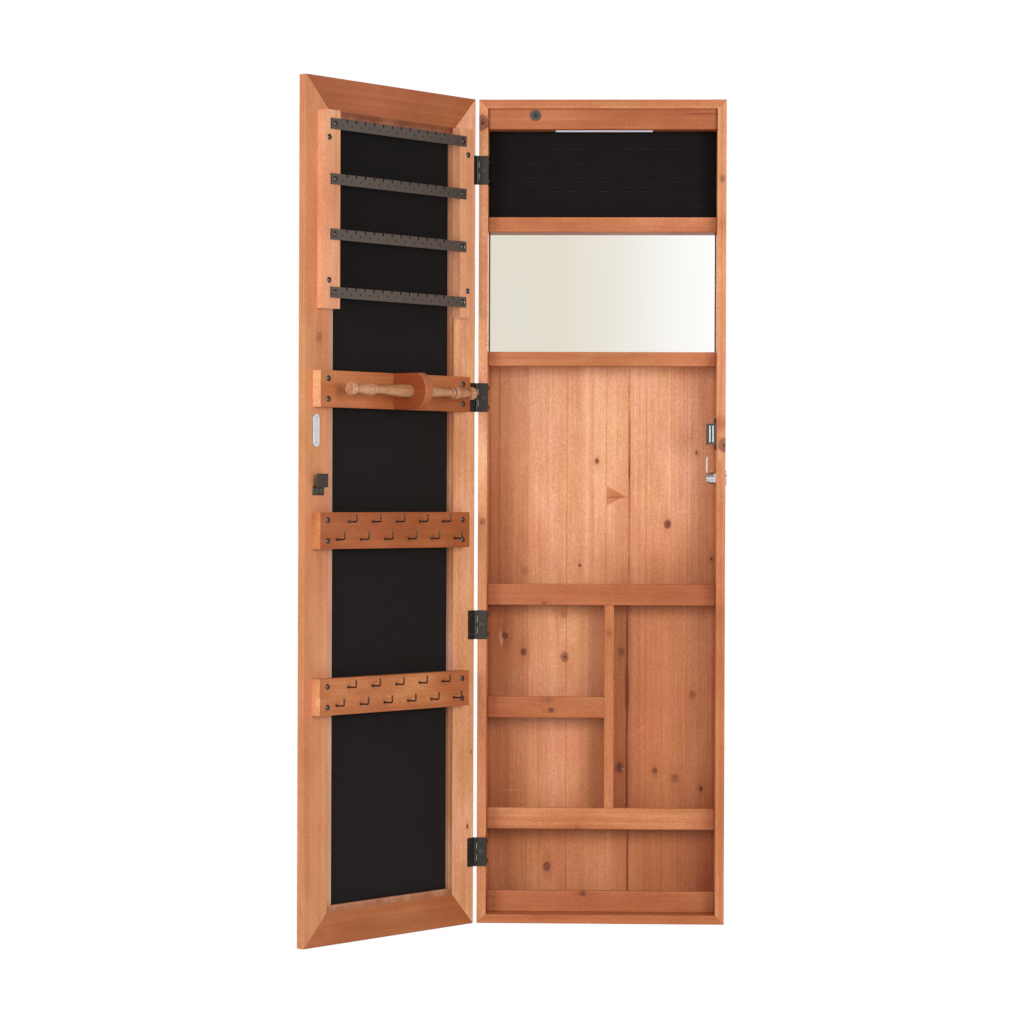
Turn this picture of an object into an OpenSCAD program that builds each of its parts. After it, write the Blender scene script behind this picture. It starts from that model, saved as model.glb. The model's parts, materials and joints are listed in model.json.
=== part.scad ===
// Wall-hung wooden jewelry cabinet with a full-height mirror door, shown with the door open.
// Millimetres. +X is to the right, +Y is towards the wall and +Z is up.
// The origin is on the wall plane, at mid width, level with the underside of the cabinet.

/* [Cabinet] */
// Width over the two side boards
cab_w = 360; // [356:1:372]
// Height over the top and bottom boards
cab_h = 1200; // [1200:5:1240]
// Depth from the front edges of the boards to the wall
cab_d = 95; // [92:1:105]
// Thickness of the side, top and bottom boards
board_t = 13; // [12:0.5:14]
// Clear depth in front of the back panel
inner_d = 80; // [80:1:82]
// Thickness of the back panel
back_t = 6; // [5:0.5:8]

/* [Rails and shelves] */
// Thickness of the rails across the front
rail_t = 12; // [10:1:12]
// Distance of the top rail behind the front edges
top_recess = 6; // [5:0.5:8]
// Distance of the two rails above and below the small mirror
upper_recess = 25; // [22:1:28]
// Distance of the tray rails behind the front edges
tray_recess = 31; // [31:0.5:33]
// Height of the rails in front of the trays
tray_rail_h = 31; // [26:1:34]
// Thickness of the shelves
shelf_t = 10; // [8:1:12]

/* [Door] */
// Angle that the door stands open
door_open = 128; // [100:1:180]
// Width of the door
door_w = 357; // [352:1:360]
// Thickness of the door frame
door_t = 13; // [13:0.5:16]
// Width of the frame members up to the rebate
frame_w = 46; // [44:1:50]
// Height of one hinge
hinge_h = 42; // [36:1:46]
// Thickness of the boards screwed on the inside of the door
strip_t = 15; // [12:0.5:16]

/* [Fittings] */
// Radius of the hook wire
hook_r = 0.9; // [0.7:0.1:1.1]
// Radius of the lock cylinder
lock_r = 9; // [8:0.5:10]
// Width of the light strip
light_l = 142; // [100:2:180]

/* [Hidden] */
$fn = 48;

wood = "#b8703f";
wood_dark = "#a55f34";
wood_pale = "#d39b6c";
steel_dark = "#3a3430";
steel = "#c8c8c6";
felt_black = "#1d1a19";
plastic_dark = "#4a4744";

eps = 0.01;
half_w = cab_w / 2;
inner_x = half_w - board_t;
front_y = -cab_d;
back_y = front_y + inner_d;
top_z = cab_h - board_t;

// Rails and shelves, measured from the underside of the cabinet.
top_rail_z = cab_h - 43;
light_shelf_t = 9;
ring_rail_z = 1009;
ring_rail_h = 22;
mirror_rail_z = 813;
mirror_rail_h = 21;
tray_rail_z = [463, 134.5, board_t];
tray_shelf_z = [463, 134.5];
left_rail_z = 298;
left_rail_h = 30.5;
divider_x = [5, 19];

// Ring pad: five rows of slits cut into a foam block.
pad_front = upper_recess + rail_t;
pad_t = 18;
pad_side_gap = 1.5;
slit_rows = 5;
slit_cols = 9;
slit_l = 24;
slit_h = 1.2;
slit_d = 11;
slit_pitch_x = 34.8;
slit_pitch_z = 21;
slit_first_z = 1050;

// Small mirror.
small_mirror_y = front_y + 51;
small_mirror_t = 3;
backing_t = 4;

// Light strip, switch and batteries.
light_x = 2;
light_y = front_y + 29;
light_w = 14;
light_h = 15;
light_wall = 1.8;
chip_count = 6;
switch_x = -98;
switch_z = 1177.5;
bezel_r = 7.75;
bezel_body_r = 6;
bezel_t = 2;
button_r = 3.25;
button_gap = 0.05;
button_proud = 1.5;
button_l = 9;
cell_r = 5.2;
cell_l = 43.5;
cell_pitch = 11.2;
holder_x = 100;
holder_y = front_y + 24;
holder_wall = 1.5;

// Keyhole hangers.
hanger_x = 120;
hanger_z = 1156;
hanger_w = 26;
hanger_h = 46;
hanger_t = 2;
hanger_hole_r = 4.5;
hanger_slot_r = 2.3;
hanger_slot_up = 9;
hanger_screw_z = 18;
hanger_window = [15, -8, 14.5];
hanging_rail_h = 60;

// Hinges.
hinge_count = 4;
hinge_first_z = 104;
hinge_pitch = 331;
leaf_t = 0.9;
door_gap = 2;
knuckle_r = 2.5;
pin_r = 1.0;
pin_gap = 0.05;
hinge_off = knuckle_r + 0.2;
hinge_x = -half_w - hinge_off;
hinge_y = front_y - door_gap / 2;
flange_d = 25;
door_leaf_w = 13;
leaf_start = 0.3;
hinge_screw_z = 14;

// Door. u runs from the hinge edge, n from the inside face into the cabinet.
door_x = -half_w;
door_y = front_y - door_gap;
lip_t = 3;
lip_w = 9;
bead_t = 4.7;
bead_drop = 0.8;
bead_gap = 0.1;
felt_t = 2;
glass_t = 2.5;
panel_gap = 0.2;
strip_w = 30;
strip_u = [21, 304.5];
strip_z = [880, 1153];
bar_u = [39, 324];
bar_z = [902, 982, 1058, 1134];
bar_h = 15;
bar_t = 1.5;
bar_hole_r = 1.1;
bar_hole_n = 14;
bar_hole_u = 59.6;
bar_hole_pitch = 18.6;
bar_hole_drop = 1.4;
bar_notch_d = 4.4;
board_u = [28, 342.5];
board_h = 50.5;
bracelet_z = 769.3;
bracket_u = 185.2;
bracket_w = 16;
bracket_reach = 75;
bracket_r = 29;
spindle_n = 44;
spindle_r = 9;
spindle_half = 137;
hook_rail_z = [574, 345];
hook_u_low = 61.8;
hook_u_high = 87;
hook_pitch = 49.5;
hook_row = 12.2;
hook_reach = 31;
hook_bend = 2.5;
hook_up = 9.5;
hook_collar_r = 1.9;

// Screws: head radius, head height, shank radius.
screw_r = 1.5;
head_r = 3.4;
head_h = 2;
flush_r = 2.9;
flush_h = 1.4;
strip_screw_z = [918.5, 1115];
strip_screw_u = [34, 326.5];
board_screw_u = [43, 327];
board_screw_dz = 14.2;
bar_screw_in = 8;

// Latch: magnetic catch, its strike plate, cam lock and keeper.
catch_z = 714;
catch_h = 30;
catch_x = 152.3;
catch_d = 17;
catch_ear_h = 46;
catch_ear_t = 2;
catch_screw_dz = 19;
pole_x = [156.4, 161.4];
pole_t = 1.2;
pole_h = 24;
pole_d = 14;
strike_u = 336.5;
strike_w = 12.5;
strike_h = 45.5;
strike_z = 712;
strike_t = 1.6;
strike_screw_dz = 16.6;
lock_z = 650;
lock_depth = 31;
lock_end_x = 157;
lock_flange_r = 11;
lock_flange_t = 2.5;
nut_t = 3;
plug_r = 6;
plug_gap = 0.05;
cam_x = 153;
cam_t = 2;
cam_reach = 30.8;
cam_low = 4;
cam_high = 10;
claw_w = 4;
keeper_u = [320, 342.5];
keeper_z = [622.6, 652.5];
keeper_base_h = 12.2;
keeper_t = 1.2;
keeper_lift = 7.6;
keeper_screw_u = [326.4, 335.6];
keeper_screw_z = 628.3;

hinge_zs = [for (k = [0 : hinge_count - 1]) hinge_first_z + k * hinge_pitch];
lock_y = front_y + lock_depth;
opening_z = [frame_w, cab_h - frame_w];

// A block given by its lowest and highest corners.
module block(lo, hi) {
    translate(lo) cube(hi - lo);
}

// A vertical outline in X and Z, from y0 to y1.
module upright(points, y0, y1) {
    translate([0, y1, 0]) rotate([90, 0, 0]) linear_extrude(y1 - y0) polygon(points);
}

// One mitred side of a w by h frame, between the insets a and b from its outer edge.
// The upright sides are shorter by the gap g at each end.
function mitre(side, w, h, a, b, g = 0) =
    side == "left" ? [[a, a + g], [b, b + g], [b, h - b - g], [a, h - a - g]] :
    side == "right" ? [[w - a, a + g], [w - a, h - a - g], [w - b, h - b - g], [w - b, b + g]] :
    side == "top" ? [[a, h - a], [b, h - b], [w - b, h - b], [w - a, h - a]] :
    [[a, a], [w - a, a], [w - b, b], [b, b]];

function shifted(points, dx) = [for (p = points) [p[0] + dx, p[1]]];

// A rectangle with round corners, centred on the origin.
module round_rect(w, h, r) {
    square([w - 2 * r, h], center = true);
    square([w, h - 2 * r], center = true);
    for (x = [-1, 1], y = [-1, 1]) translate([x * (w / 2 - r), y * (h / 2 - r)]) circle(r);
}

// A wood screw along +Z with its head below z = 0: a raised head or one that sits flush.
module pan_screw(length) {
    difference() {
        union() {
            translate([0, 0, -head_h]) cylinder(r1 = head_r - 1.2, r2 = head_r, h = head_h);
            translate([0, 0, -eps]) cylinder(r = screw_r, h = length + eps);
        }
        drive_recess(-head_h);
    }
}

module flush_screw(length) {
    difference() {
        union() {
            cylinder(r1 = flush_r, r2 = screw_r, h = flush_h);
            translate([0, 0, flush_h - eps]) cylinder(r = screw_r, h = length - flush_h + eps);
        }
        drive_recess(0);
    }
}

module drive_recess(z) {
    for (a = [0, 90]) rotate([0, 0, a]) translate([-1.7, -0.35, z - eps]) cube([3.4, 0.7, 1]);
}

// The space that a screw takes in the piece it goes through.
module flush_seat(length) {
    cylinder(r1 = flush_r, r2 = screw_r, h = flush_h);
    cylinder(r = screw_r, h = length);
}

// Places a child's +Z along +X, +Y, -Y or -X at a point.
module at_x(p) { translate(p) rotate([0, 90, 0]) children(); }
module at_y(p) { translate(p) rotate([-90, 0, 0]) children(); }
module at_neg_y(p) { translate(p) rotate([90, 0, 0]) children(); }
module at_neg_x(p) { translate(p) rotate([0, -90, 0]) children(); }

// ---- Carcass

module carcass_board(side) {
    upright(shifted(mitre(side, cab_w, cab_h, 0, board_t), -half_w), front_y, 0);
}

module side_left() {
    color(wood) difference() {
        carcass_board("left");
        hinge_edge_screws(true);
        hinge_flange_screws(true);
    }
}

module side_right() {
    color(wood) difference() {
        carcass_board("right");
        at_x([inner_x - 1, lock_y, lock_z]) cylinder(r = lock_r, h = board_t + 2);
        catch_screws(true);
    }
}

module top_board() { color(wood) carcass_board("top"); }
module bottom_board() { color(wood) carcass_board("bottom"); }

module back_panel() {
    color(wood) block([-inner_x, back_y, board_t], [inner_x, back_y + back_t, top_z]);
}

module hanger_outline() {
    round_rect(hanger_w, hanger_h, 4);
}

module keyhole() {
    circle(hanger_hole_r);
    translate([0, hanger_slot_up]) circle(hanger_slot_r);
    translate([-hanger_slot_r, 0]) square([2 * hanger_slot_r, hanger_slot_up]);
}

module hanging_rail() {
    color(wood_dark) difference() {
        block([-inner_x, back_y + back_t, top_z - hanging_rail_h], [inner_x, 0, top_z]);
        for (x = [-hanger_x, hanger_x]) {
            at_neg_y([x, eps, hanger_z]) linear_extrude(hanger_t + eps) hanger_outline();
            block([x - hanger_window[0] / 2, back_y, hanger_z + hanger_window[1]],
                  [x + hanger_window[0] / 2, 1, hanger_z + hanger_window[2]]);
        }
        hanger_screws(true);
    }
}

module hanger_plates() {
    color(steel) difference() {
        for (x = [-hanger_x, hanger_x]) {
            at_neg_y([x, 0, hanger_z]) linear_extrude(hanger_t) hanger_outline();
        }
        for (x = [-hanger_x, hanger_x]) {
            at_neg_y([x, eps, hanger_z]) linear_extrude(hanger_t + 2 * eps) keyhole();
        }
        hanger_screws(true);
    }
}

module hanger_screws(cut) {
    for (x = [-hanger_x, hanger_x], z = [-hanger_screw_z, hanger_screw_z + 0.5]) {
        at_neg_y([x, 0, hanger_z + z]) if (cut) flush_seat(7.5); else flush_screw(7.5);
    }
}

// ---- Top rail, light and switch

module top_rail() {
    y0 = front_y + top_recess;
    color(wood_dark) difference() {
        block([-inner_x, y0, top_rail_z], [inner_x, y0 + rail_t, top_z]);
        at_y([switch_x, y0 - 1, switch_z]) cylinder(r = bezel_body_r, h = rail_t + 2);
    }
}

module light_shelf() {
    y0 = front_y + top_recess + rail_t;
    color(wood_dark) difference() {
        block([-inner_x, y0, top_rail_z + 1], [inner_x, back_y, top_rail_z + 1 + light_shelf_t]);
        light_box(light_l + 2 * light_wall, light_w, [top_rail_z - 1, top_rail_z + 20]);
    }
}

module light_box(l, w, z) {
    block([light_x - l / 2, light_y - w / 2, z[0]], [light_x + l / 2, light_y + w / 2, z[1]]);
}

module light_housing() {
    z0 = top_rail_z + 1;
    color(plastic_dark) difference() {
        light_box(light_l + 2 * light_wall, light_w, [z0, z0 + light_h]);
        light_box(light_l, light_w - 2 * light_wall, [z0 - 1, z0 + light_h - light_wall]);
    }
}

module light_diffuser() {
    color("#f4f4fa") light_box(light_l, light_w - 2 * light_wall, [top_rail_z - 0.5, top_rail_z + 2.5]);
}

module light_circuit() {
    top = top_rail_z + 1 + light_h - light_wall;
    color("#2f6b3a") light_box(light_l - 2, light_w - 2 * light_wall - 1, [top - 1.2, top]);
    pitch = (light_l - 20) / (chip_count - 1);
    color("#f2e7b0") for (k = [0 : chip_count - 1]) {
        x = light_x - (light_l - 20) / 2 + k * pitch;
        block([x - 1.75, light_y - 1.4, top - 2], [x + 1.75, light_y + 1.4, top - 1.2]);
    }
}

module battery_holder() {
    z0 = top_rail_z + 1 + light_shelf_t;
    l = cell_l + 3 + 2 * holder_wall;
    w = 3 * cell_pitch + 2 * holder_wall;
    color(plastic_dark) difference() {
        block([holder_x, holder_y, z0], [holder_x + l, holder_y + w, z0 + 12]);
        block([holder_x + holder_wall, holder_y + holder_wall, z0 + holder_wall],
              [holder_x + l - holder_wall, holder_y + w - holder_wall, z0 + 13]);
    }
}

module battery_cells() {
    z = top_rail_z + 1 + light_shelf_t + holder_wall + cell_r + 0.1;
    color("#5b6470") for (k = [0 : 2]) {
        y = holder_y + holder_wall + cell_pitch * (k + 0.5);
        at_x([holder_x + holder_wall + 1, y, z]) cylinder(r = cell_r, h = cell_l);
        at_x([holder_x + holder_wall + 1 + cell_l, y, z]) cylinder(r = 1.9, h = 1);
    }
}

module switch_bezel() {
    y0 = front_y + top_recess;
    color(plastic_dark) difference() {
        union() {
            at_y([switch_x, y0 - bezel_t, switch_z]) cylinder(r = bezel_r, h = bezel_t);
            at_y([switch_x, y0 - eps, switch_z]) cylinder(r = bezel_body_r, h = rail_t + 6);
        }
        at_y([switch_x, y0 - bezel_t - 1, switch_z]) {
            cylinder(r = button_r + button_gap, h = button_l + 3);
        }
    }
}

module switch_button() {
    y0 = front_y + top_recess - bezel_t - button_proud;
    color("#34363a") at_y([switch_x, y0, switch_z]) cylinder(r = button_r, h = button_l);
}

// ---- Ring pad and small mirror

module cross_rail(recess, z, h, x0, x1) {
    block([x0, front_y + recess, z], [x1, front_y + recess + rail_t, z + h]);
}

module cross_shelf(recess, z, t, x0, x1) {
    block([x0, front_y + recess + rail_t, z], [x1, back_y, z + t]);
}

module ring_rail() { color(wood_dark) cross_rail(upper_recess, ring_rail_z, ring_rail_h, -inner_x, inner_x); }
module ring_shelf() { color(wood_dark) cross_shelf(upper_recess, ring_rail_z, shelf_t, -inner_x, inner_x); }

module ring_pad() {
    y0 = front_y + pad_front;
    x1 = inner_x - pad_side_gap;
    color(felt_black) difference() {
        block([-x1, y0, ring_rail_z + shelf_t], [x1, y0 + pad_t, top_rail_z + 1]);
        for (i = [0 : slit_cols - 1], k = [0 : slit_rows - 1]) {
            x = (i - (slit_cols - 1) / 2) * slit_pitch_x;
            z = slit_first_z + k * slit_pitch_z;
            block([x - slit_l / 2, y0 - 1, z - slit_h / 2], [x + slit_l / 2, y0 + slit_d, z + slit_h / 2]);
        }
    }
}

module ring_pad_board() {
    y0 = front_y + pad_front + pad_t;
    color(wood_pale) block([-inner_x, y0, ring_rail_z + shelf_t], [inner_x, y0 + 5, top_rail_z + 1]);
}

module mirror_rail() { color(wood_dark) cross_rail(upper_recess, mirror_rail_z, mirror_rail_h, -inner_x, inner_x); }

module mirror_shelf() {
    z = mirror_rail_z + mirror_rail_h - shelf_t;
    color(wood_dark) cross_shelf(upper_recess, z, shelf_t, -inner_x, inner_x);
}

module behind_mirror(y, t, side_gap) {
    x = inner_x - side_gap;
    block([-x, y, mirror_rail_z + mirror_rail_h], [x, y + t, ring_rail_z]);
}

module small_mirror() { color("#e9e7dd") behind_mirror(small_mirror_y, small_mirror_t, 2); }
module mirror_backing() { color(wood_pale) behind_mirror(small_mirror_y + small_mirror_t, backing_t, 0); }

// ---- Trays

module tray_rails() {
    color(wood_dark) for (z = tray_rail_z) cross_rail(tray_recess, z, tray_rail_h, -inner_x, inner_x);
}

module tray_shelves() {
    color(wood_dark) for (z = tray_shelf_z) cross_shelf(tray_recess, z, shelf_t, -inner_x, inner_x);
}

module divider() {
    z0 = tray_shelf_z[1] + tray_rail_h;
    y0 = front_y + tray_recess;
    color(wood) difference() {
        block([divider_x[0], y0, tray_shelf_z[1] + shelf_t], [divider_x[1], back_y, tray_shelf_z[0]]);
        block([divider_x[0] - 1, y0 - 1, z0 - tray_rail_h], [divider_x[1] + 1, y0 + rail_t, z0]);
    }
}

module left_rail() { color(wood_dark) cross_rail(tray_recess, left_rail_z, left_rail_h, -inner_x, divider_x[0]); }
module left_shelf() { color(wood_dark) cross_shelf(tray_recess, left_rail_z, shelf_t, -inner_x, divider_x[0]); }

// ---- Magnetic catch and lock

module catch_body() {
    z0 = catch_z - catch_h / 2;
    y0 = front_y + 0.6;
    color(plastic_dark) difference() {
        union() {
            block([catch_x, y0, z0], [inner_x, y0 + catch_d, z0 + catch_h]);
            block([inner_x - catch_ear_t, y0 + 3, catch_z - catch_ear_h / 2],
                  [inner_x, y0 + catch_d - 3, catch_z + catch_ear_h / 2]);
        }
        block([pole_x[0], y0 - 1, catch_z - pole_h / 2],
              [pole_x[1] + pole_t, front_y + pole_d, catch_z + pole_h / 2]);
        catch_screws(true);
    }
}

module catch_magnet() {
    z0 = catch_z - pole_h / 2;
    color(steel) for (x = pole_x) block([x, front_y, z0], [x + pole_t, front_y + pole_d, z0 + pole_h]);
    color(plastic_dark) {
        block([pole_x[0] + pole_t, front_y + 1.5, z0], [pole_x[1], front_y + pole_d, z0 + pole_h]);
    }
}

module catch_screws(cut) {
    for (z = [-catch_screw_dz, catch_screw_dz]) {
        at_x([inner_x - catch_ear_t, front_y + 9.1, catch_z + z]) {
            if (cut) cylinder(r = screw_r, h = 12); else pan_screw(12);
        }
    }
}

module lock_body() {
    color(steel) difference() {
        union() {
            at_x([lock_end_x, lock_y, lock_z]) cylinder(r = lock_r, h = half_w - lock_end_x + eps);
            at_x([half_w, lock_y, lock_z]) cylinder(r = lock_flange_r, h = lock_flange_t);
        }
        at_x([lock_end_x - 1, lock_y, lock_z]) cylinder(r = plug_r + plug_gap, h = 40);
    }
}

module lock_nut() {
    color(steel) difference() {
        at_x([inner_x - nut_t, lock_y, lock_z]) cylinder(r = lock_r + 3.5, h = nut_t, $fn = 6);
        at_x([inner_x - nut_t - 1, lock_y, lock_z]) cylinder(r = lock_r, h = nut_t + 2, $fn = 48);
    }
}

module lock_plug() {
    x1 = half_w + lock_flange_t - 0.4;
    color(steel) difference() {
        union() {
            at_x([cam_x + cam_t, lock_y, lock_z]) cylinder(r = plug_r, h = x1 - cam_x - cam_t);
            at_x([cam_x, lock_y, lock_z]) cylinder(r = 3, h = cam_t + eps);
        }
        at_x([cam_x - 1, lock_y, lock_z]) cylinder(r = screw_r, h = 11);
        block([x1 - 8, lock_y - 0.8, lock_z - 3.6], [x1 + 1, lock_y + 0.8, lock_z + 3.6]);
    }
}

// The cam points up when it is undone. Turned forwards, its claw drops behind the keeper.
module lock_cam() {
    color(steel) difference() {
        union() {
            at_x([cam_x, lock_y, lock_z]) cylinder(r = 8, h = cam_t);
            block([cam_x, lock_y + cam_low, lock_z], [cam_x + cam_t, lock_y + cam_high, lock_z + cam_reach]);
            block([cam_x, lock_y - cam_low, lock_z + cam_reach - claw_w],
                  [cam_x + cam_t, lock_y + cam_high, lock_z + cam_reach]);
        }
        at_x([cam_x - 1, lock_y, lock_z]) cylinder(r = 3, h = cam_t + 2);
    }
}

module lock_cam_screw() {
    color(steel) at_x([cam_x, lock_y, lock_z]) pan_screw(9.5);
}

// ---- Hinges

// Knuckles numbered from below: the cabinet leaf has 0, 2 and 4, the door leaf 1 and 3.
// Each one is joined to its leaf, whose face is at y, by a tab of its own height.
module knuckles(picks, bore, y) {
    step = hinge_h / 5;
    for (z = hinge_zs, k = picks) {
        lo = z - hinge_h / 2 + k * step + (k == 0 ? 0 : 0.1);
        h = step - (k == 0 || k == 4 ? 0.1 : 0.2);
        difference() {
            union() {
                translate([hinge_x, hinge_y, lo]) cylinder(r = knuckle_r, h = h);
                block([hinge_x, y, lo], [-half_w + leaf_start + 1, y + leaf_t, lo + h]);
            }
            translate([hinge_x, hinge_y, lo - 1]) cylinder(r = bore, h = h + 2);
        }
    }
}

module hinge_frame_leaves() {
    y1 = hinge_y + door_gap / 2;
    color(steel_dark) difference() {
        union() {
            knuckles([0, 2, 4], pin_r, y1 - leaf_t);
            for (z = hinge_zs) {
                block([-half_w + leaf_start, y1 - leaf_t, z - hinge_h / 2],
                      [-inner_x + leaf_t, y1, z + hinge_h / 2]);
                block([-inner_x, y1 - leaf_t, z - hinge_h / 2],
                      [-inner_x + leaf_t, y1 + flange_d, z + hinge_h / 2]);
            }
        }
        hinge_edge_screws(true);
        hinge_flange_screws(true);
    }
}

module hinge_pins() {
    color(steel_dark) for (z = hinge_zs) {
        translate([hinge_x, hinge_y, z - hinge_h / 2]) cylinder(r = pin_r, h = hinge_h);
    }
}

module hinge_door_leaves() {
    color(steel_dark) door_pose() difference() {
        union() {
            knuckles([1, 3], pin_r + pin_gap, door_y);
            for (z = hinge_zs) door_leaf(z);
        }
        hinge_door_screws(true);
    }
}

module door_leaf(z) {
    w = door_leaf_w;
    translate([door_x + leaf_start, door_y, z]) {
        translate([w / 2, leaf_t, 0]) rotate([90, 0, 0]) linear_extrude(leaf_t) {
            round_rect(w, hinge_h, 2);
            translate([-w / 2, -hinge_h / 2]) square([w / 2, hinge_h]);
        }
    }
}

module hinge_edge_screws(cut) {
    for (z = hinge_zs) at_y([-half_w + board_t / 2, front_y - leaf_t, z]) {
        if (cut) flush_seat(14); else flush_screw(14);
    }
}

module hinge_flange_screws(cut) {
    for (z = hinge_zs, s = [-1, 1]) at_neg_x([-inner_x + leaf_t, front_y + 15, z + s * hinge_screw_z]) {
        if (cut) cylinder(r = screw_r, h = 10); else pan_screw(10);
    }
}

module hinge_door_screws(cut) {
    for (z = hinge_zs, s = [-1, 1]) on_door(8, leaf_t, z + s * hinge_screw_z) {
        if (cut) flush_seat(10); else flush_screw(10);
    }
}

module cabinet_screws() {
    color(steel_dark) {
        hinge_edge_screws(false);
        hinge_flange_screws(false);
        catch_screws(false);
        hanger_screws(false);
    }
}

// ---- Door, drawn closed and then turned to its open position

module door_pose() {
    translate([hinge_x, hinge_y, 0]) rotate([0, 0, -door_open]) translate([-hinge_x, -hinge_y, 0]) {
        children();
    }
}

module door_block(u, n, z) {
    block([door_x + u[0], door_y + n[0], z[0]], [door_x + u[1], door_y + n[1], z[1]]);
}

// Puts a screw's +Z towards the mirror side of the door, starting at n above the inside face.
module on_door(u, n, z) {
    at_neg_y([door_x + u, door_y + n, z]) children();
}

module frame_member(side) {
    color(wood) door_pose() difference() {
        union() {
            upright(shifted(mitre(side, door_w, cab_h, 0, frame_w), door_x), door_y - door_t + lip_t, door_y);
            upright(shifted(mitre(side, door_w, cab_h, 0, frame_w + lip_w), door_x),
                    door_y - door_t, door_y - door_t + lip_t);
        }
        if (side == "left" || side == "right") door_screw_set(true);
    }
}

module door_stile_hinge() { frame_member("left"); }
module door_stile_free() { frame_member("right"); }
module door_rail_top() { frame_member("top"); }
module door_rail_bottom() { frame_member("bottom"); }

module door_beads() {
    color(wood_pale) door_pose() for (side = ["left", "right", "top", "bottom"]) {
        points = mitre(side, door_w, cab_h, frame_w, frame_w + lip_w, bead_gap);
        upright(shifted(points, door_x), door_y - bead_drop - bead_t, door_y - bead_drop);
    }
}

module door_panel(n0, n1) {
    g = frame_w + panel_gap;
    door_block([g, door_w - g], [n0, n1], [g, cab_h - g]);
}

module felt_board() {
    n1 = -bead_drop - bead_t;
    color(felt_black) door_pose() door_panel(n1 - felt_t, n1);
}

module door_mirror() {
    n0 = lip_t - door_t;
    color("#dfe6ea") door_pose() door_panel(n0, n0 + glass_t);
}

module earring_strips() {
    color(wood) door_pose() difference() {
        for (u = strip_u) door_block([u, u + strip_w], [0, strip_t], strip_z);
        strip_screws(true);
        bar_screws(true);
    }
}

module earring_bars() {
    color(steel_dark) door_pose() difference() {
        for (z = bar_z) door_block(bar_u, [strip_t, strip_t + bar_t], [z - bar_h / 2, z + bar_h / 2]);
        for (z = bar_z) bar_holes(z);
        bar_screws(true);
    }
}

module bar_holes(z) {
    n = strip_t + bar_t + 1;
    for (k = [0 : bar_hole_n - 1]) {
        on_door(bar_hole_u + k * bar_hole_pitch, n, z - bar_hole_drop) cylinder(r = bar_hole_r, h = bar_t + 2);
    }
    for (k = [0 : bar_hole_n - 2]) {
        u = bar_hole_u + (k + 0.5) * bar_hole_pitch;
        on_door(u, n, z + bar_h / 2 - bar_notch_d + bar_hole_r) cylinder(r = bar_hole_r, h = bar_t + 2);
        door_block([u - bar_hole_r, u + bar_hole_r], [strip_t - 1, n],
                   [z + bar_h / 2 - bar_notch_d + bar_hole_r, z + bar_h / 2 + 1]);
    }
}

module door_board(z) {
    door_block(board_u, [0, strip_t], [z - board_h / 2, z + board_h / 2]);
}

module bracelet_board() {
    color(wood_dark) door_pose() difference() {
        door_board(bracelet_z);
        board_screws([bracelet_z], true);
    }
}

// A board on edge with a round front, bored for the spindle.
module bracelet_bracket() {
    color(wood_dark) door_pose() difference() {
        intersection() {
            door_block([bracket_u - bracket_w / 2, bracket_u + bracket_w / 2], [strip_t, bracket_reach + 1],
                       [bracelet_z - board_h / 2, bracelet_z + board_h / 2]);
            union() {
                door_block([bracket_u - 20, bracket_u + 20], [strip_t, bracket_reach - bracket_r],
                           [bracelet_z - 40, bracelet_z + 40]);
                spindle_axis(bracket_reach - bracket_r, -20) cylinder(r = bracket_r, h = 40, $fn = 96);
            }
        }
        spindle_axis(spindle_n, -20) cylinder(r = spindle_r, h = 40);
    }
}

module spindle_axis(n, start) {
    at_x([door_x + bracket_u + start, door_y + n, bracelet_z]) children();
}

// Radius of the turned spindle at a distance s from its middle.
function spindle_at(s) =
    s <= 10 ? spindle_r :
    s <= 58 ? 5.5 + 1.75 * (1 + cos(180 * (s - 10) / 48)) :
    s <= 72 ? 5.5 + 1.1 * (s - 58) / 14 :
    s <= 77 ? 7.3 + 0.9 * sin(180 * (s - 72) / 5) :
    s <= 78.5 ? 6.7 :
    s <= 88 ? 8.6 - 0.9 * pow((88 - s) / 9.5, 2) :
    s <= 111 ? 5.5 + 3.1 * cos(90 * (s - 88) / 23) :
    s <= 114 ? 5.5 :
    7.6 + 1.4 * sin(180 * (s - 114) / (spindle_half + 2 - 114));

spindle_steps = [
    for (s = [0, 10, 16, 22, 28, 34, 40, 46, 52, 58, 65, 72]) s,
    for (s = [72.05 : 1.2 : 77]) s,
    for (s = [77.1, 78.5, 78.6, 80, 83, 88, 93, 98, 102, 105, 108, 110, 111, 114]) s,
    for (s = [114.1, 116, 120, 125, 130, 134, 136, spindle_half]) s
];

module bracelet_spindle() {
    near = [for (s = spindle_steps) [spindle_at(s), s]];
    far = [for (i = [len(spindle_steps) - 1 : -1 : 1]) [spindle_at(spindle_steps[i]), -spindle_steps[i]]];
    outline = concat([[0, -spindle_half]], far, near, [[0, spindle_half]]);
    color(wood_pale) door_pose() spindle_axis(spindle_n, 0) rotate_extrude() polygon(outline);
}

module hook_rails() {
    color(wood_dark) door_pose() difference() {
        for (z = hook_rail_z) door_board(z);
        board_screws(hook_rail_z, true);
        each_hook() cylinder(r = hook_r, h = hook_reach);
    }
}

// Eleven hooks a rail: six in the lower row and five between them in the upper row.
module each_hook() {
    for (z = hook_rail_z) {
        for (k = [0 : 5]) at_hook(hook_u_low + k * hook_pitch, z - hook_row) children();
        for (k = [0 : 4]) at_hook(hook_u_high + k * hook_pitch, z + hook_row) children();
    }
}

module at_hook(u, z) {
    at_y([door_x + u, door_y + 3, z]) children();
}

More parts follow.
